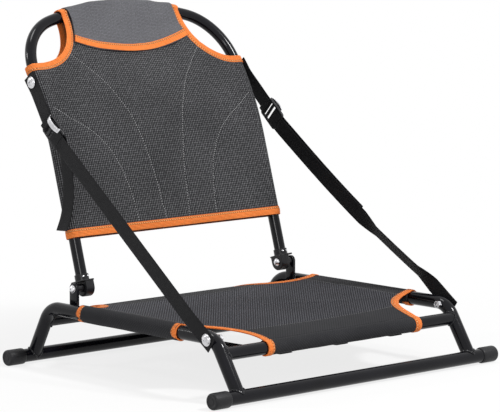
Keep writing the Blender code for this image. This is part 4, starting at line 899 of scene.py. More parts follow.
@dataclass
class HingeSet:
    """Uprights, spacers, moulded fittings and their bolts."""

    upright_width: float = 0.017
    upright_thickness: float = 0.005
    upright_lap: float = 0.006
    upright_x: float = 0.2202
    weld_length: float = 0.0135
    weld_r: float = 0.0016
    weld_depth: float = 0.0008
    weld_swell: float = 0.2
    weld_ripples: float = 40.0
    fitting_out: float = 0.2040
    fitting_in: float = 0.1890
    eye_r: float = 0.0130
    shoulder: float = 0.0085
    flange: float = 0.0025
    flange_half: float = 0.0136
    flange_rim: float = 0.0006
    socket: float = 0.0090
    socket_wall: float = 0.0018
    overlap: float = 0.001
    sunk: float = 0.0004
    head_r: float = 0.0060
    head_rim: float = 0.0012
    head_height: float = 0.0045
    nut_height: float = 0.0042
    shank: tuple[float, float, float] = (0.030, 0.003, 0.0004)
    spacer_bore: float = 0.0031
    spacer_r: float = 0.0064
    seat_gap: float = 0.0002
    rivet_r: float = 0.0017
    rivet_height: float = 0.0012
    rivet_turn: float = math.radians(22.5)
    rivet_at: float = 0.55

    def build(self) -> None:
        """Build both hinges."""
        for side, sign in SIDES:
            self.upright(side, sign)
            self.fitting(side, sign)
            self.hardware(side, sign)

    def upright(self, side: str, sign: float) -> None:
        """Flat bar with a round top, lap-welded to the rail's inner side."""
        hinge, half = SIZES.hinge, self.upright_width / 2
        low = SIZES.rail_z - self.upright_lap
        x = sign * (self.upright_x - self.upright_thickness)
        corners = [Vector((x, hinge.y - half, low)), Vector((x, hinge.y + half, low))]
        corners += [Vector((x, hinge.y + half * math.cos(a), hinge.z + half * math.sin(a)))
                    for a in arc(0.0, math.pi, 24)]
        bar = Mould(f"{side}_hinge_bar")
        bar.plate(corners, X_AXIS * (sign * self.upright_thickness), 0.0006)
        bar.finish("gloss_black_paint", Body.BASE, f"hinge_upright_{side}")
        beads = Mould(f"{side}_bar_weld")
        for edge in (-half, half):
            path = [Vector((sign * (self.upright_x - self.weld_depth), hinge.y + edge, low + height))
                    for height in arc(0.0, self.weld_length, 12)]
            beads.sweep(circle(self.weld_r, 8), frames_on(path),
                        size=lambda share: 1 + self.weld_swell * math.sin(share * self.weld_ripples))
        beads.finish("weld_paint", Body.BASE)

    def fitting(self, side: str, sign: float) -> None:
        """Moulded end of the backrest tube: eye, flange, socket and two rivets."""
        x, eye, along = sign * SIZES.back_x, self.eye_r, BACK.along(0.0)
        across = -BACK.normal(0.0)
        inner = Vector((sign * self.fitting_in, SIZES.hinge.y, SIZES.hinge.z))
        corners = [inner + across * (eye * math.cos(a)) + along * (eye * math.sin(a))
                   for a in arc(math.pi, math.pi, 24)]
        corners += [inner + across * width + along * (self.shoulder + self.overlap) for width in (eye, -eye)]
        piece = Mould(f"{side}_tube_end")
        piece.plate(corners, X_AXIS * (sign * (self.fitting_out - self.fitting_in)), 0.0012, 4)
        socket_r = SIZES.back_r + self.socket_wall
        wide, deep = socket_r + self.flange_rim, self.flange_half
        piece.plate([BACK.point(x + dx, self.shoulder, n) for dx, n in
                     ((-wide, -deep), (wide, -deep), (wide, deep), (-wide, deep))], along * self.flange, 0.0007)
        piece.lathe(ring_outline(SIZES.back_r - self.overlap, socket_r, 0.0, self.socket + self.sunk),
                    BACK.point(x, self.shoulder + self.flange - self.sunk), along, 48)
        piece.finish("satin_black_moulding", Body.BACKREST, f"hinge_fitting_{side}")
        r, h = self.rivet_r, self.rivet_height
        head = [(-0.0010, 0.0), (-0.0010, r * 0.7), (0.0, r * 0.7), (0.0, r - 0.0001), (0.0001, r), (0.0004, r),
                (0.6 * h, r * 0.84), (0.85 * h, r * 0.55), (h, r * 0.2), (h, 0.0)]
        seat = BACK.point(x, self.shoulder + self.flange + self.socket * self.rivet_at)
        for place, turn in (("outer", 1.0), ("inner", -1.0)):
            spread = sign * turn * self.rivet_turn
            out = X_AXIS * math.sin(spread) - across * math.cos(spread)
            make_turned(f"{side}_{place}_rivet_head", seat + out * socket_r, out, "zinc_steel", Body.BACKREST,
                        f"socket_rivet_{place}_{side}", (head, 28))

    def hardware(self, side: str, sign: float) -> None:
        """Hinge bolt, spacer and nut."""
        axis, hinge = X_AXIS * sign, SIZES.hinge
        length = self.upright_x - self.upright_thickness - self.fitting_out
        make_turned(f"{side}_hinge_bolt_head", hinge + axis * (self.upright_x + self.seat_gap), axis, "zinc_steel",
                    Body.BASE, f"hinge_bolt_{side}", (domed_head(self.head_r, self.head_height, self.head_rim), 40),
                    (shank(*self.shank), 32))
        make_turned(f"{side}_hinge_spacer_ring", hinge + axis * self.fitting_out, axis, "satin_black_moulding",
                    Body.BASE, f"hinge_spacer_{side}",
                    (ring_outline(self.spacer_bore, self.spacer_r, self.seat_gap, length - self.seat_gap), 40))
        make_turned(f"{side}_hinge_cap_nut", hinge + axis * (self.fitting_in - self.seat_gap), -axis, "zinc_steel",
                    Body.BASE, f"hinge_nut_{side}", (domed_head(self.head_r, self.nut_height, self.head_rim), 40))


# Backrest


@dataclass
class CoverShape:
    """Outline of the backrest's cloth: its openings, its seams and its fullness."""

    out: float = 0.01057
    bottom: float = 0.0745
    opening_inner: float = 0.1155
    opening_bottom: float = 0.3415
    opening_power: float = 2.4
    right_drop: float = 0.0085
    drop_start: float = 0.006
    drop_span: float = 0.8
    hollow: float = 0.0022
    seam_depth: float = 0.0010
    seam_width: float = 0.005
    side_seam: float = 0.0145
    ripple: float = 0.0007
    wrap: float = 0.033
    inner_seam: Pairs = ((0.080, 0.021), (0.11, 0.026), (0.148, 0.0285), (0.184, 0.034), (0.218, 0.042),
                         (0.254, 0.0527), (0.2935, 0.0734), (0.312, 0.0865), (0.336, 0.108), (0.355, 0.127),
                         (0.43, 0.21))
    outer_seam: Pairs = ((0.080, 0.077), (0.115, 0.080), (0.14, 0.084), (0.17, 0.0913), (0.20, 0.106),
                         (0.22, 0.122), (0.237, 0.143), (0.253, 0.170), (0.268, 0.191), (0.30, 0.25), (0.43, 0.50))

    def opening(self, steps: int = 40, drop: float = 0.0) -> Points:
        """Edge of an opening, as on the right side.

        Args:
            steps: number of steps along the edge.
            drop: how much lower the edge is pulled beside the leg.

        Returns:
            Points (x, s) from the leg's side to the arch's top.
        """
        half = SIZES.back_x - self.opening_inner
        height = BACK.arch_top(self.opening_inner) - self.opening_bottom
        power = 2 / self.opening_power
        points = []
        for angle in arc(0.0, QUARTER, steps):
            x = self.opening_inner + half * (1 - math.sin(angle) ** power)
            pull = clamp((x - self.opening_inner - self.drop_start) / (half * self.drop_span))
            points.append((x, self.opening_bottom + height * (1 - math.cos(angle) ** power)
                           - drop * pull * pull * (3 - 2 * pull)))
        return points

    def drop(self, sign: float) -> float:
        """How much lower the opening of one side is."""
        return self.right_drop if sign > 0 else 0.0

    def columns(self) -> Points:
        """Places across the cover with the length s where each column of cloth ends."""
        left, right = self.opening(44), self.opening(44, self.right_drop)
        middle = [(x, BACK.arch_top(x)) for x in np.linspace(-self.opening_inner, self.opening_inner, 76)]
        return [(-x, s) for x, s in left[:-1]] + middle + right[:-1][::-1]

    def seam_distance(self, x: float, s: float) -> float:
        """Signed distance from a place to the sewn lines, which crosses nought on each of them."""
        step = 0.004
        gaps = []
        for seam in (self.inner_seam, self.outer_seam):
            line, ahead = (float(np.interp(at, *zip(*seam))) for at in (s, s + step))
            slope = (ahead - line) / step
            gaps.append((abs(x) - line) / math.sqrt(1 + slope * slope))
        return joined_distance(gaps)

    def offset(self, x: float, s: float, face: float) -> float:
        """Distance of the cloth from the middle surface, with its hollow, seams and ripples."""
        share = abs(x) / SIZES.back_x
        dip = self.hollow * (1 - share ** 2)
        side = abs(abs(x) - (SIZES.back_x - self.side_seam))
        near = max(0.0, 1 - min(abs(self.seam_distance(x, s)), side) / self.seam_width)
        sewn = self.seam_depth * near ** 2 if face > 0 else 0.0
        ripple = waves(self.ripple, x * 14, s * 26, 3.0 + face) * (1 - share ** 6)
        return face * (self.out - dip - sewn + ripple)

    def half_round(self, x: float, s: float, share: float) -> tuple[float, float]:
        """Angle and radius of cloth that turns round the tube, at a share of the way to the back face."""
        front, back = self.offset(x, s, 1.0), -self.offset(x, s, -1.0)
        return QUARTER - math.pi * share, front + (back - front) * share


@dataclass
class Backrest:
    """The arched tube with its cloth cover, flap and bound edges."""

    shape: CoverShape = field(default_factory=CoverShape)
    tube_foot: float = 0.012
    rows: int = 120
    tape_thickness: float = 0.0022
    tape_gap: float = 0.0006
    tape_lift: float = 0.0002
    hem_width: float = 0.0128
    hem_start: float = -0.0004
    hem_length: float = 0.86
    hem_seam: float = 0.8
    hem_turn: int = 14
    hem_thickness: float = 0.0012
    hem_lift: float = 0.0009
    hem_puff: float = 0.0006
    flap_lift: float = 0.0012
    flap_side: float = 0.3740
    flap_dip: float = 0.0215
    flap_top: float = 0.42
    flap_front: float = 0.8
    flap_turn: float = math.pi * 0.62
    flap_sag: float = 0.0012
    flap_lowest: float = -0.0008
    flap_roll: float = 0.011
    flap_thickness: float = 0.0006
    flap_seam: float = 0.0032
    flap_tape_lift: float = 0.0010

    def build(self) -> None:
        """Build every piece of the backrest."""
        make_tube("backrest_bow", BACK.tube_path(self.tube_foot), SIZES.back_r, Body.BACKREST, "backrest_tube", 40)
        self.cover()
        self.flap()
        for side, sign in SIDES:
            self.opening_binding(side, sign)
        self.hem()

    def cover(self) -> None:
        """Both layers of the cover and the cloth that turns round the tube between them."""
        shape = self.shape
        columns = shape.columns()
        count = len(columns) - 1
        piece = Mould("backrest_cloth")

        def at(u: float, v: float) -> tuple[float, float]:
            """Place (x, s) for the shares across and up."""
            x, top = columns[round(u * count)]
            return x, shape.bottom + (top - shape.bottom) * v

        for face in (1.0, -1.0):
            piece.patch(count, self.rows, lambda u, v: BACK.point(*at(u, v), shape.offset(*at(u, v), face)),
                        at, lambda u, v: shape.seam_distance(*at(u, v)))
        for sign in (-1.0, 1.0):
            self.leg_turn(piece, sign)
        self.arch_turn(piece, [x for x, _ in columns if abs(x) <= shape.opening_inner + 1e-6])
        cloth = piece.finish("cover_mesh", Body.BACKREST, "backrest_cover", weld=2e-5, sheet=(SIZES.cloth * 0.8, -1.0))

    def leg_turn(self, piece: Mould, sign: float) -> None:
        """Cloth that turns round one leg of the tube."""
        shape, x = self.shape, sign * SIZES.back_x
        height = shape.opening_bottom - shape.drop(sign) - shape.bottom

        def surface(u: float, v: float) -> Vector:
            """Point on the half round, from the front face to the back one."""
            s = shape.bottom + height * v
            angle, radius = shape.half_round(x, s, u)
            return (BACK.point(x, s) + X_AXIS * (sign * radius * math.cos(angle))
                    + BACK.normal(s) * (radius * math.sin(angle)))

        piece.patch(16, self.rows, surface, lambda u, v: (x + sign * shape.wrap * u, shape.bottom + height * v))

    def arch_turn(self, piece: Mould, tops: Sequence[float]) -> None:
        """Cloth that turns over the arch between the openings, in columns at the places given."""
        count = len(tops) - 1

        def surface(u: float, v: float) -> Vector:
            """Point on the half round over the arch, from the front face to the back one."""
            x = tops[round(u * count)]
            s = BACK.arch_top(x)
            angle, radius = self.shape.half_round(x, s, v)
            return (BACK.point(x, s) + BACK.arch_out(x) * (self.shape.out * math.cos(angle))
                    + BACK.normal(s) * (radius * math.sin(angle)))

        piece.patch(count, 16, surface, lambda u, v: (tops[round(u * count)], BACK.arch_top(tops[round(u * count)])
                                                      + self.shape.wrap * v))

    def flap_limit(self, s: float) -> float:
        """Half width that the openings' bindings leave for the flap at a length s."""
        xs, ss = zip(*self.shape.opening())
        step = 0.003
        slope = abs(float(np.interp(s + step, ss, xs)) - float(np.interp(s - step, ss, xs))) / (2 * step)
        return float(np.interp(s, ss, xs)) - (SIZES.tape + self.tape_gap) * math.sqrt(1 + slope * slope)

    def flap_edge(self, share: float) -> float:
        """Length s of the flap's lower edge at a share of its half width."""
        return self.flap_side - self.flap_dip * (1 - share * share)

    def flap_wave(self, x: float, s: float) -> float:
        """Height of the flap's soft wrinkles at a place."""
        return max(waves(0.0022, x * 18, s * 30, 7.0) + waves(0.0010, x * 55, s * 38, 1.0), self.flap_lowest)

    def flap(self) -> None:
        """The lighter flap over the arch and the binding of its curved edge."""
        lift = self.shape.out + self.flap_lift

        def at(u: float, v: float) -> tuple[float, float, float]:
            """Place x, s and turn over the arch for the shares across and up."""
            share = 2 * u - 1
            low = self.flap_edge(share)
            x_top = self.flap_limit(self.flap_top) * share
            top = BACK.arch_top(x_top)
            if v <= self.flap_front:
                s = low + (top - low) * v / self.flap_front
                return self.flap_limit(min(s, self.flap_top)) * share, s, 0.0
            return x_top, top, (v - self.flap_front) / (1 - self.flap_front) * self.flap_turn

        def surface(u: float, v: float) -> Vector:
            """Point of the flap with its soft wrinkles."""
            x, s, turn = at(u, v)
            height = lift + self.flap_wave(x, s)
            if turn == 0.0:
                return BACK.point(x, s, height - self.flap_sag * (1 - (2 * u - 1) ** 2) * (1 - v))
            return (BACK.point(x, s) + BACK.arch_out(x) * (height * math.sin(turn))
                    + BACK.normal(s) * (height * math.cos(turn)))

        piece = Mould("backrest_headcloth")
        piece.patch(90, 60, surface, lambda u, v: (at(u, v)[0], at(u, v)[1] + at(u, v)[2] * self.flap_roll))
        cloth = piece.finish("flap_cloth_grey", Body.BACKREST, "backrest_flap", sheet=(self.flap_thickness, 1.0))
        edge = Mould("flap_edge_tape")
        edge.sweep(flat_oval(SIZES.tape, self.tape_thickness), [self.flap_frame(share) for share in arc(-1.0, 2.0, 80)])
        edge.mark_seam(self.flap_seam)
        edge.finish("orange_binding", Body.BACKREST, "flap_binding")

    def flap_frame(self, share: float) -> Frame:
        """Frame of the flap's tape at a share of its half width."""
        s = self.flap_edge(share)
        limit = self.flap_limit(self.flap_side)
        normal = BACK.normal(s)
        run = (X_AXIS + BACK.along(s) * (2 * self.flap_dip * share / limit)).normalized()
        side = normal.cross(run)
        wave = max(self.flap_wave(limit * share, s + reach) for reach in (0.0, SIZES.tape / 2, SIZES.tape))
        height = self.shape.out + self.flap_lift + self.flap_tape_lift - self.flap_sag * (1 - share * share) + wave
        return BACK.point(limit * share, s, height) + side * (SIZES.tape / 2), side, normal

    def opening_binding(self, side: str, sign: float) -> None:
        """Tape round one opening: front edge, over the arch, back edge, round the leg."""
        edge = self.shape.opening(36, self.shape.drop(sign))
        frames: list[Frame] = []
        for face, row in ((1.0, edge), (-1.0, edge[::-1])):
            frames += [self.opening_frame(sign, face, row, index) for index in range(len(row))]
            frames += self.opening_turn(sign, face, row[-1])
        tape = Mould(f"{side}_opening_tape")
        tape.sweep(flat_oval(SIZES.tape, self.tape_thickness), frames, closed=True)
        tape.mark_seam(SIZES.tape_seam)
        tape.finish("orange_binding", Body.BACKREST, f"opening_binding_{side}")

    def opening_frame(self, sign: float, face: float, row: Pairs, index: int) -> Frame:
        """Frame of the tape on one face of the cover."""
        x, s = row[index]
        before, after = row[max(index - 1, 0)], row[min(index + 1, len(row) - 1)]
        run = (X_AXIS * (sign * (after[0] - before[0])) + BACK.along(s) * (after[1] - before[1])).normalized()
        normal = BACK.normal(s) * face
        away = normal.cross(run).normalized() * sign
        if index == (0 if face > 0 else len(row) - 1):
            away = -BACK.along(s)
        level = self.shape.offset(x, s, face) + face * (waves(0.0003, x * 60, s * 60, face) - SIZES.cloth * 0.4)
        return BACK.point(sign * x, s, level) + away * SIZES.tape_out, away, normal

    def opening_turn(self, sign: float, face: float, end: tuple[float, float]) -> list[Frame]:
        """Frames of the tape round the tube, from one face to the other."""
        x, s = end
        outward, away = X_AXIS * sign, -BACK.along(s)
        if x < self.shape.opening_inner + 0.01:
            outward = BACK.arch_out(sign * x)
            away = outward.cross(BACK.normal(s)).normalized()
            away = away if away.x * sign < 0 else -away
        frames = []
        for angle in arc(QUARTER, -math.pi, 16)[1:-1]:
            normal = outward * math.cos(angle) + BACK.normal(s) * (face * math.sin(angle))
            frames.append((BACK.point(sign * x, s) + normal * (self.shape.out + self.tape_lift)
                           + away * SIZES.tape_out, away, normal))
        return frames

    def hem(self) -> None:
        """Orange hem round the cover's open bottom."""
        shape, edge = self.shape, SIZES.back_x
        columns = list(np.linspace(-edge, edge, 90))
        turns = [math.cos(a) for a in arc(0.0, math.pi, self.hem_turn)[1:-1]]
        ring = [(x, 1.0) for x in columns] + [(edge, turn) for turn in turns]
        ring += [(x, -1.0) for x in columns[::-1]] + [(-edge, -turn) for turn in turns]
        count = len(ring)

        def surface(u: float, v: float) -> Vector:
            """Point of the hem, u once round the cover and v up it."""
            x, turn = ring[round(u * count) % count]
            s = shape.bottom + self.hem_start + self.hem_width * v
            puff = self.hem_lift + self.hem_puff * math.sin(math.pi * v) + waves(0.0003, x * 40, v * 3, turn)
            if abs(turn) == 1.0:
                return BACK.point(x, s, shape.offset(x, shape.bottom, turn) + turn * puff)
            radius = shape.out + puff
            return BACK.point(x, s, radius * turn) + X_AXIS * (math.copysign(radius, x) * math.sqrt(1 - turn * turn))

        piece = Mould("hem_tape")
        piece.patch(count, 10, surface, lambda u, v: (self.hem_width * (v - 0.5), u * self.hem_length),
                    lambda u, v: (v - self.hem_seam) * self.hem_width)
        piece.finish("orange_binding", Body.BACKREST, "hem_binding", weld=2e-5,
                     sheet=(self.hem_thickness, -1.0))


# Seat sling


@dataclass
class Sling:
    """The stretched seat: a saddle of mesh cloth, sleeves on four tubes and bound corners."""

    cross_half: float = 0.152
    rail_out: float = 0.0115
    cross_out: float = 0.0110
    hem_line: float = 0.085
    rear_hem_line: float = 0.374
    side_band: float = 0.024
    crease_start: tuple[float, float] = (-0.03, 0.263)
    crease_run: tuple[float, float] = (0.244, -0.148)
    fold: float = 0.0008
    fold_width: float = 0.006
    fold_length: float = 0.285
    ripple: float = 0.0006
    sag: float = 0.0016
    tape_thickness: float = 0.0024
    tape_sunk: float = 0.0002
    tape_turn: float = math.radians(240)
    tape_steps: int = 28
    strap_spacing: float = 0.110
    strap_thickness: float = 0.0013
    strap_sag: float = 0.004
    strap_gap: float = 0.0011

    def build(self) -> None:
        """Build the sling, its bindings and the straps under it."""
        self.deck()
        for end in (FRONT, REAR):
            for side, sign in SIDES:
                tape = Mould(f"{end.name}_{side}_corner_tape")
                tape.sweep(flat_oval(SIZES.tape, self.tape_thickness), self.corner_frames(end, sign))
                tape.mark_seam(SIZES.tape_seam)
                tape.finish("orange_binding", Body.BASE, f"seat_binding_{end.name}_{side}")
        for side, place in (("left", -1), ("middle", 0), ("right", 1)):
            self.tension_strap(side, place * self.strap_spacing)

    def height(self, x: float, y: float) -> float:
        """Top of the stretched cloth at a place."""
        a = max(1 - ((y - DECK_MIDDLE) / DECK_HALF) ** 2, 0.0)
        b = max(1 - (x / SIZES.rail_x) ** 2, 0.0)
        share = a / (a + b) if a + b > 1e-9 else 0.5
        low, high = SIZES.cross_z + self.cross_out, SIZES.rail_z + self.rail_out
        crease = Vector((x - self.crease_start[0], y - (self.crease_start[1] + SIZES.shift_y), 0.0))
        run = Vector((*self.crease_run, 0.0)).normalized()
        across = crease.x * run.y - crease.y * run.x
        along = math.sin(math.pi * clamp(crease.dot(run) / self.fold_length))
        fold = self.fold * math.exp(-(across / self.fold_width) ** 2) * max(0.0, along)
        ripple = waves(self.ripple, x * 12, y * 16, 0.0) * min(a, b) ** 0.5
        return low + (high - low) * share - self.sag * a * b + fold + ripple

    def corner(self, end: End) -> Points:
        """Points (x, y) of a right corner's cut-out, from the rail to the cross tube."""
        return [(SIZES.rail_x - (SIZES.rail_x - self.cross_half) * math.sin(a),
                 end.cross_y + (end.sleeve_y - end.cross_y) * math.cos(a)) for a in arc(0.0, QUARTER, 30)]

    def columns(self) -> list[tuple[float, float, float]]:
        """Places across the deck with the first and last Y of each column."""
        half = [(x, yf, yr) for (x, yf), (_, yr) in zip(self.corner(FRONT), self.corner(REAR))][:-1]
        middle = [(x, FRONT.cross_y, REAR.cross_y) for x in np.linspace(-self.cross_half, self.cross_half, 90)]
        return [(-x, a, b) for x, a, b in half] + middle + half[::-1]

    def seam_gaps(self, x: float, y: float) -> list[float]:
        """Signed distances from a place to the front, rear and side hems' sewn lines, positive on the mesh."""
        return [y - (SIZES.shift_y + self.hem_line), SIZES.shift_y + self.rear_hem_line - y,
                SIZES.rail_x - self.side_band - abs(x)]

    def deck(self) -> None:
        """The cloth itself with its four sleeves."""
        columns = self.columns()
        count = len(columns) - 1
        piece = Mould("seat_cloth")

        def at(u: float, v: float) -> tuple[float, float]:
            """Place (x, y) for the shares across and back."""
            x, first, last = columns[round(u * count)]
            return x, first + (last - first) * v

        piece.patch(count, 130, lambda u, v: Vector((*at(u, v), self.height(*at(u, v)))),
                    lambda u, v: (*at(u, v), 1.0 if min(self.seam_gaps(*at(u, v))) < 0 else 0.0),
                    lambda u, v: joined_distance(self.seam_gaps(*at(u, v))))
        for sign in (-1.0, 1.0):
            self.sleeve(piece, Vector((sign * SIZES.rail_x, FRONT.sleeve_y, SIZES.rail_z)),
                        Vector((0.0, REAR.sleeve_y - FRONT.sleeve_y, 0.0)), self.rail_out, X_AXIS * sign)
        for end in (FRONT, REAR):
            self.sleeve(piece, Vector((-self.cross_half, end.cross_y, SIZES.cross_z)),
                        X_AXIS * (2 * self.cross_half), self.cross_out, Vector((0.0, -end.inward, 0.0)))
        cloth = piece.finish("seat_mesh", Body.BASE, "seat_sling", shell=False, sheet=(SIZES.cloth * 0.8, -1.0))

    def sleeve(self, piece: Mould, start: Vector, run: Vector, radius: float, outward: Vector) -> None:
        """Cloth once round a tube.

        Args:
            piece: mould of the sling.
            start: centre of the tube at the sleeve's start.
            run: from start to the sleeve's end.
            radius: outer radius of the sleeve.
            outward: direction away from the seat.
        """
        length = run.length

        def surface(u: float, v: float) -> Vector:
            """Point of the sleeve, u round it and v along it."""
            angle = TURN * u
            pinch = waves(0.0004, u * 7, v * length * 40, radius * 900) * math.sin(angle / 2)
            return start + run * v + (UP * math.cos(angle) + outward * math.sin(angle)) * (radius + pinch)

        piece.patch(36, 60, surface, lambda u, v: (radius * TURN * u, v * length, 1.0))

    def corner_frames(self, end: End, sign: float) -> list[Frame]:
        """Frames of one corner's tape: round the rail's sleeve, along the cut-out, round the cross sleeve.

        Args:
            end: end of the seat that the corner is at.
            sign: side of the seat.

        Returns:
            Frames from under the rail to under the cross tube.
        """
        deeper, inner = Vector((0.0, end.inward, 0.0)), Vector((-sign, 0.0, 0.0))
        points = [Vector((sign * x, y, self.height(sign * x, y) - 2 * self.tape_sunk)) for x, y in self.corner(end)]
        frames: list[Frame] = []
        for angle in arc(QUARTER - self.tape_turn, self.tape_turn, self.tape_steps)[:-1]:
            normal = Vector((sign * math.cos(angle), 0.0, math.sin(angle)))
            centre = Vector((sign * SIZES.rail_x, points[0].y, SIZES.rail_z))
            frames.append((centre + normal * (self.rail_out - self.tape_sunk), deeper, normal))
        for index, point in enumerate(points):
            away = UP.cross(run_at(points, index)).normalized() * (-sign * end.inward)
            frames.append((point, {0: deeper, len(points) - 1: inner}.get(index, away), UP.copy()))
        for angle in arc(QUARTER, self.tape_turn, self.tape_steps)[1:]:
            normal = Vector((0.0, end.inward * math.cos(angle), math.sin(angle)))
            centre = Vector((points[-1].x, end.cross_y, SIZES.cross_z))
            frames.append((centre + normal * (self.cross_out - self.tape_sunk), inner, normal))
        return [(point + away * SIZES.tape_out, away, normal) for point, away, normal in frames]

    def tension_strap(self, side: str, x: float) -> None:
        """One of the straps under the sling, which sags a little between the cross tubes."""
        top = SIZES.cross_z - self.cross_out - self.strap_gap
        path = [Vector((x, DECK_MIDDLE + DECK_HALF * share, top - self.strap_sag * (1 - share * share)))
                for share in arc(-1.0, 2.0, 32)]
        strap = Mould(f"{side}_tension_webbing")
        strap.sweep(flat_oval(SIZES.webbing, self.strap_thickness), frames_on(path, X_AXIS))
        strap.finish("black_webbing", Body.BASE, f"tension_strap_{side}")


# Straps


@dataclass
class StrapSet:
    """The two adjustable straps with their bolts, buckles and loose ends."""

    thickness: float = 0.0014
    cover_out: float = CoverShape.out + 0.0003  # strap's inner face
    upper_at: float = 0.316
    buckle: Spot = (0.2190, 0.4185, 0.3465)
    buckle_angle: float = math.radians(42.0)
    buckle_length: float = 0.040
    buckle_width: float = 0.033
    plate: float = 0.0030
    bars: Pairs = ((-0.0200, -0.0155), (-0.0095, -0.0045), (0.0030, 0.0200))
    slot: float = 0.0131
    slot_lap: float = 0.001
    side_rise: float = 0.0005
    corner: Pairs = ((0.0, 0.002), (0.003, 0.0))
    lip: tuple[float, float] = (0.0080, 0.0022)
    lip_middle: float = -0.005
    lip_half: float = 0.0145
    lip_inset: float = 0.0045
    lip_stand: float = 0.0022
    lip_bulge: float = 0.0060
    lower_bolt: Spot = (0.2415, 0.0543, 0.0859)
    step: float = 0.004
    stiff: float = 0.0125
    lead: float = 0.006
    lead_gap: float = 0.0006
    bend_at: float = 0.045
    blend_from: float = 0.27
    gap: float = 0.0003
    head_r: float = 0.0088
    head_height: float = 0.0042
    head_rim: float = 0.0011
    shank_r: float = 0.0028
    seat_gap: float = 0.0002
    slack: float = 0.009
    tail_length: float = 0.205
    hanging_length: float = 0.135
    curl: Pairs = ((4, 0.002), (5, 0.007), (6, 0.016))
    right_twist: Pairs = ((0.0, 0.0), (0.50, 0.0), (0.58, 0.55), (0.80, 0.55), (0.88, 0.0), (1.0, 0.0))
    no_twist: Pairs = ((0.0, 0.0), (1.0, 0.0))

    def build(self) -> None:
        """Build both straps."""
        for side, sign in SIDES:
            self.webbing(side, sign)
            self.buckle_body(side, sign)
            self.bolts(side, sign)

    @property
    def stand(self) -> float:
        """Distance of the webbing's middle from the buckle's middle."""
        return self.plate / 2 + self.gap + self.thickness / 2

    def directions(self) -> tuple[Vector, Vector]:
        """The way down a buckle and the way across it."""
        c, s = math.cos(self.buckle_angle), math.sin(self.buckle_angle)
        return Vector((0.0, -c, -s)), Vector((0.0, -s, c))

    def mirrored(self, spot: Spot, sign: float) -> Vector:
        """A point of the right strap, on the side asked for."""
        return SIZES.spot(sign * spot[0], spot[1], spot[2])

    def ribbon(self, name: str, path: Sequence[Vector], body: Body | None, node: str,
               twist: Pairs = no_twist) -> bpy.types.Object:
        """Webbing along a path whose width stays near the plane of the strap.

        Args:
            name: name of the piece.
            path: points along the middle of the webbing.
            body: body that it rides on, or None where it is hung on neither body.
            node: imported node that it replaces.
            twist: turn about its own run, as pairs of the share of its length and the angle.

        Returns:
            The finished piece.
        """
        dense = self.smooth(path)
        reach = np.concatenate([[0.0], np.cumsum([(b - a).length for a, b in zip(dense, dense[1:])])])
        turns = np.interp(reach / reach[-1], *zip(*twist))
        frames = []
        across: Vector | None = None
        for index, point in enumerate(dense):
            run = run_at(dense, index)
            level = Vector((0.0, run.y, run.z))
            if level.length > 0.35:
                fresh = X_AXIS.cross(level.normalized())
                across = -fresh if across is not None and fresh.dot(across) < 0 else fresh
            side = (across - run * across.dot(run)).normalized()
            side = side * math.cos(turns[index]) + run.cross(side) * math.sin(turns[index])
            frames.append((point, side, run.cross(side)))
        strap = Mould(name)
        strap.sweep(flat_oval(SIZES.webbing, self.thickness), frames)
        return strap.finish("black_webbing", body, node)

    def smooth(self, path: Sequence[Vector]) -> list[Vector]:
        """Round a path through its points."""
        dense: list[Vector] = []
        for index, (p1, p2) in enumerate(zip(path, path[1:])):
            p0, p3 = path[max(index - 1, 0)], path[min(index + 2, len(path) - 1)]
            chord = (p2 - p1).length
            m1, m2 = (way * (chord / max(way.length, 1e-9)) for way in (p2 - p0, p3 - p1))
            for t in arc(0.0, 1.0, max(2, int(chord / self.step)))[:-1]:
                dense.append(p1 * (2 * t ** 3 - 3 * t ** 2 + 1) + m1 * (t ** 3 - 2 * t ** 2 + t)
                             + p2 * (-2 * t ** 3 + 3 * t ** 2) + m2 * (t ** 3 - t ** 2))
        return dense + [path[-1]]

    def bar_turn(self, centre: Vector, bar: float, way: float) -> list[Vector]:
        """Half turn of webbing round the edge of a buckle's bar."""
        down = self.directions()[0]
        return [centre + down * (bar + way * self.stand * math.cos(a)) + X_AXIS * (self.stand * math.sin(a))
                for a in arc(QUARTER, -math.pi, 8)]

    def webbing(self, side: str, sign: float) -> None:
        """Upper strap, lower strap and loose end of one side."""
        down = self.directions()[0]
        aside = X_AXIS * self.stand
        centre, lower_bolt = self.mirrored(self.buckle, sign), self.mirrored(self.lower_bolt, sign)
        upper_bolt = BACK.point(sign * SIZES.back_x, self.upper_at)
        upper_bolt.x = sign * (SIZES.back_x + self.cover_out + self.thickness / 2)
        top = centre + down * (-self.buckle_length / 2 - self.stand * 2)
        entry = top + aside
        flat = self.level(entry - upper_bolt) * self.stiff
        path = [upper_bolt - flat, upper_bolt, upper_bolt + flat, (upper_bolt + flat).lerp(entry, 0.5), entry]
        path += self.bar_turn(centre, self.bars[0][1], 1.0) + [top - aside]
        self.ribbon(f"{side}_upper_webbing", path, Body.BACKREST, f"upper_strap_{side}")

        leave = centre + down * (self.buckle_length / 2 + self.gap) - aside
        tail = [leave] + self.bar_turn(centre, self.bars[2][0], -1.0)[::-1]
        tail += self.tail(centre + down * (self.buckle_length / 2) + aside, sign, lower_bolt)
        loose = self.ribbon(f"{side}_loose_webbing", tail, None if sign > 0 else Body.BACKREST, f"strap_tail_{side}")
        flat = self.level(leave - lower_bolt)
        bend = lower_bolt + flat * self.bend_at
        start = leave + down * self.lead_gap
        lead = start + down * self.lead
        between = [lead.lerp(bend, share / 8) - UP * self.slack_at(sign, share / 8) for share in range(1, 8)]
        path = [start, lead, *between, bend, lower_bolt, lower_bolt - flat * self.stiff]
        long_strap = self.ribbon(f"{side}_lower_webbing", path, None, f"lower_strap_{side}",
                                 self.right_twist if sign > 0 else self.no_twist)
        near = lower_bolt.lerp(start, self.blend_from)
        for piece in (long_strap, loose)[:2 if sign > 0 else 1]:
            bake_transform(piece)

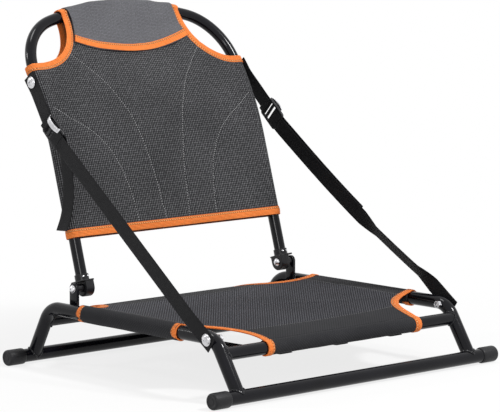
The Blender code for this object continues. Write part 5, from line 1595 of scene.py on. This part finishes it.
    def level(self, run: Vector) -> Vector:
        """A direction laid in the plane square to X."""
        return Vector((0.0, run.y, run.z)).normalized()

    def tail(self, leave: Vector, sign: float, lower_bolt: Vector) -> list[Vector]:
        """Loose end: it lies along the strap on the right and hangs on the left."""
        if sign > 0:
            run = (lower_bolt + X_AXIS * (2 * self.stand) - leave).normalized()
            whole = (lower_bolt - leave).length - self.bend_at
            return [leave + run * step - UP * self.slack_at(sign, step / whole)
                    for step in arc(0.0, self.tail_length, 8)]
        points = [leave]
        heading, hanging = math.radians(42), math.radians(88)
        for _ in range(6):
            heading += (hanging - heading) * 0.55
            points.append(points[-1] + Vector((0.0, -math.cos(heading), -math.sin(heading)))
                          * (self.hanging_length / 6))
        for index, curl in self.curl:
            points[index] = points[index] - X_AXIS * curl + UP * (curl * 0.25)
        return points

    def slack_at(self, sign: float, share: float) -> float:
        """How far the strap hangs below a straight line at a share of its length."""
        return (self.slack if sign > 0 else 0.0) * math.sin(math.pi * clamp(share))

    def buckle_body(self, side: str, sign: float) -> None:
        """Moulded buckle: frame bars, rounded sides and a curved thumb lip."""
        down, across = self.directions()
        centre = self.mirrored(self.buckle, sign)
        long, wide = self.buckle_length / 2, self.buckle_width / 2
        piece = Mould(f"{side}_ladder_buckle")

        def slab(corners: Pairs, extra: float, bevel: float) -> None:
            """A plate of the buckle, from places down and across it."""
            piece.plate([centre + down * d + across * a - X_AXIS * (self.plate / 2 + extra) for d, a in corners],
                        X_AXIS * (self.plate + 2 * extra), bevel)

        reach = self.slot + self.slot_lap
        for low, high in self.bars:
            slab(((low, -reach), (high, -reach), (high, reach), (low, reach)), 0.0, 0.0007)
        cut = [(long - d, wide - a) for d, a in self.corner]
        outline = [(-long, self.slot), (long, self.slot), *cut, *((-d, a) for d, a in cut[::-1])]
        for flip in (-1.0, 1.0):
            slab([(d, flip * a) for d, a in outline], self.side_rise, 0.0008)
        piece.finish("satin_black_moulding", Body.BACKREST, f"buckle_body_{side}")
        lip = Mould(f"{side}_buckle_lip")
        frames = []
        for turn in arc(0.0, math.pi, 24):
            run = down * math.sin(turn) - X_AXIS * (sign * 0.5 * math.cos(turn))
            point = (centre + down * (self.lip_middle - self.lip_half * math.cos(turn))
                     + across * (wide - self.lip_inset)
                     + X_AXIS * (sign * (self.lip_stand + self.lip_bulge * math.sin(turn))))
            frames.append((point, across, run.cross(across).normalized()))
        lip.sweep(flat_oval(*self.lip), frames)
        lip.finish("zinc_steel", Body.BACKREST)

    def bolts(self, side: str, sign: float) -> None:
        """Flanged bolts of the strap's two ends."""
        upper = BACK.point(sign * SIZES.back_x, self.upper_at)
        upper.x = sign * (SIZES.back_x + self.cover_out + self.thickness + self.seat_gap)
        lower = self.mirrored(self.lower_bolt, sign)
        lower.x += sign * (self.thickness / 2 + self.seat_gap)
        for place, point, body, grip in (("upper", upper, Body.BACKREST, 0.011), ("lower", lower, Body.BASE, 0.026)):
            make_turned(f"{side}_{place}_bolt_head", point, X_AXIS * sign, "zinc_steel", body,
                        f"{place}_strap_bolt_{side}", (domed_head(self.head_r, self.head_height, self.head_rim), 48),
                        (shank(grip, self.shank_r, self.gap), 24))


# Kept nodes, stage and camera

KEPT_NODES = {
    "lower_strap_nut_left": "zinc_steel",
    "lower_strap_nut_right": "zinc_steel",
    "tension_buckle_left": "satin_black_moulding",
    "tension_buckle_middle": "satin_black_moulding",
    "tension_buckle_right": "satin_black_moulding",
}


def dress_kept_nodes(nodes: dict[str, bpy.types.Object]) -> None:
    """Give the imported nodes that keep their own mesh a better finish."""
    for name, finish in KEPT_NODES.items():
        for slot in nodes[name].material_slots:
            slot.material = material(finish)
        LOG.info("%s keeps its mesh, in %s", name, finish)


@dataclass
class Studio:
    """Pale floor, soft lamps, white surroundings and the photograph's camera."""

    eye: Spot = (-2.7815, -2.8179, 0.7503)
    aim: Spot = (-1.0275, -0.8956, 0.4259)
    focal_px: float = 2814.7
    frame_px: float = 500.0
    sensor: float = 36.0
    ambient: float = 0.28
    shadow_reach: tuple[float, float] = (0.35, 0.85)
    floor_size: float = 6.0
    floor_z: float = -0.0005
    lamp_aim: Spot = (0.0, 0.0, 0.2)

    def build(self) -> None:
        """Set up everything round the seat."""
        bpy.context.scene.view_settings.view_transform = "Standard"
        self.world()
        self.floor()
        self.lamps()
        self.camera()

    def world(self) -> None:
        """Even light from all round, and white where the camera sees it."""
        world = bpy.data.worlds.new("studio")
        bpy.context.scene.world = world
        world.use_nodes = True
        sheet = Sheet(world.node_tree)
        strength = sheet.ramp(sheet.seen(), start=self.ambient)
        sheet.join(world.node_tree.nodes["Background"], {"Color": (1.0, 1.0, 1.0, 1.0), "Strength": strength})

    def floor(self) -> None:
        """Pale floor that shows white to the camera and keeps a soft shadow."""
        data = bmesh.new()
        bmesh.ops.create_grid(data, x_segments=1, y_segments=1, size=self.floor_size)
        mesh = bpy.data.meshes.new("studio_floor")
        data.to_mesh(mesh)
        data.free()
        floor = add_object("studio_floor", mesh)
        floor.location.z = self.floor_z
        paint = bpy.data.materials.new("pale_floor")
        paint.use_nodes = True
        sheet = Sheet(paint.node_tree)
        shader = paint.node_tree.nodes["Principled BSDF"]
        sheet.join(shader, {"Base Color": (0.9, 0.9, 0.9, 1.0), "Roughness": 0.9})
        glow = sheet.node("Emission", {"Color": (1.0, 1.0, 1.0, 1.0), "Strength": 1.0})
        away = sheet.node("VectorMath", {0: sheet.node("TexCoord").outputs["Object"]}, operation="LENGTH")
        fade = sheet.ramp(away.outputs["Value"], *self.shadow_reach, 0.80, interpolation_type="SMOOTHSTEP")
        share = sheet.math("MULTIPLY", sheet.seen(), fade)
        mix = sheet.node("MixShader", {0: share, 1: shader.outputs[0], 2: glow.outputs[0]})
        sheet.join(paint.node_tree.nodes["Material Output"], {0: mix.outputs[0]})
        mesh.materials.append(paint)

    def lamps(self) -> None:
        """A key lamp above the front, a soft one overhead, a fill from the left and a small rim lamp behind."""
        for name, place, size, power in (("rim", (-1.6, 1.7, 1.5), 0.3, 9.0), ("key", (0.8, -1.9, 2.6), 0.6, 72.0),
                                         ("sky", (-0.3, 0.6, 2.8), 0.8, 14.0),
                                         ("fill", (-2.4, -1.9, 1.0), 0.7, 14.0)):
            lamp = bpy.data.lights.new(name, "AREA")
            lamp.shape = "DISK"
            lamp.size = size
            lamp.energy = power
            self.point(add_object(name, lamp), Vector(place), Vector(self.lamp_aim))

    def camera(self) -> None:
        """The photograph's own viewpoint."""
        lens = bpy.data.cameras.new("photo_camera")
        lens.sensor_fit = "HORIZONTAL"
        lens.sensor_width = self.sensor
        lens.lens = self.focal_px / self.frame_px * self.sensor
        lens.clip_end = 100.0
        item = add_object("photo_camera", lens)
        self.point(item, SIZES.spot(*self.eye), SIZES.spot(*self.aim))
        bpy.context.scene.camera = item

    def point(self, item: bpy.types.Object, place: Vector, aim: Vector) -> None:
        """Stand a lamp or the camera at a place and turn it to a point."""
        item.location = place
        item.rotation_euler = (aim - place).to_track_quat("-Z", "Y").to_euler()


def main() -> None:
    """Build the seat's pieces in order."""
    logging.basicConfig(level=logging.INFO, format="%(name)s %(message)s", stream=sys.stdout)
    for item in list(bpy.data.objects):
        bpy.data.objects.remove(item, do_unlink=True)
    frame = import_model()
    for maker in (BaseFrame, HingeSet, Backrest, Sling, StrapSet):
        maker().build()
    dress_kept_nodes(frame["nodes"])
    Studio().build()


if __name__ == "__main__":
    main()
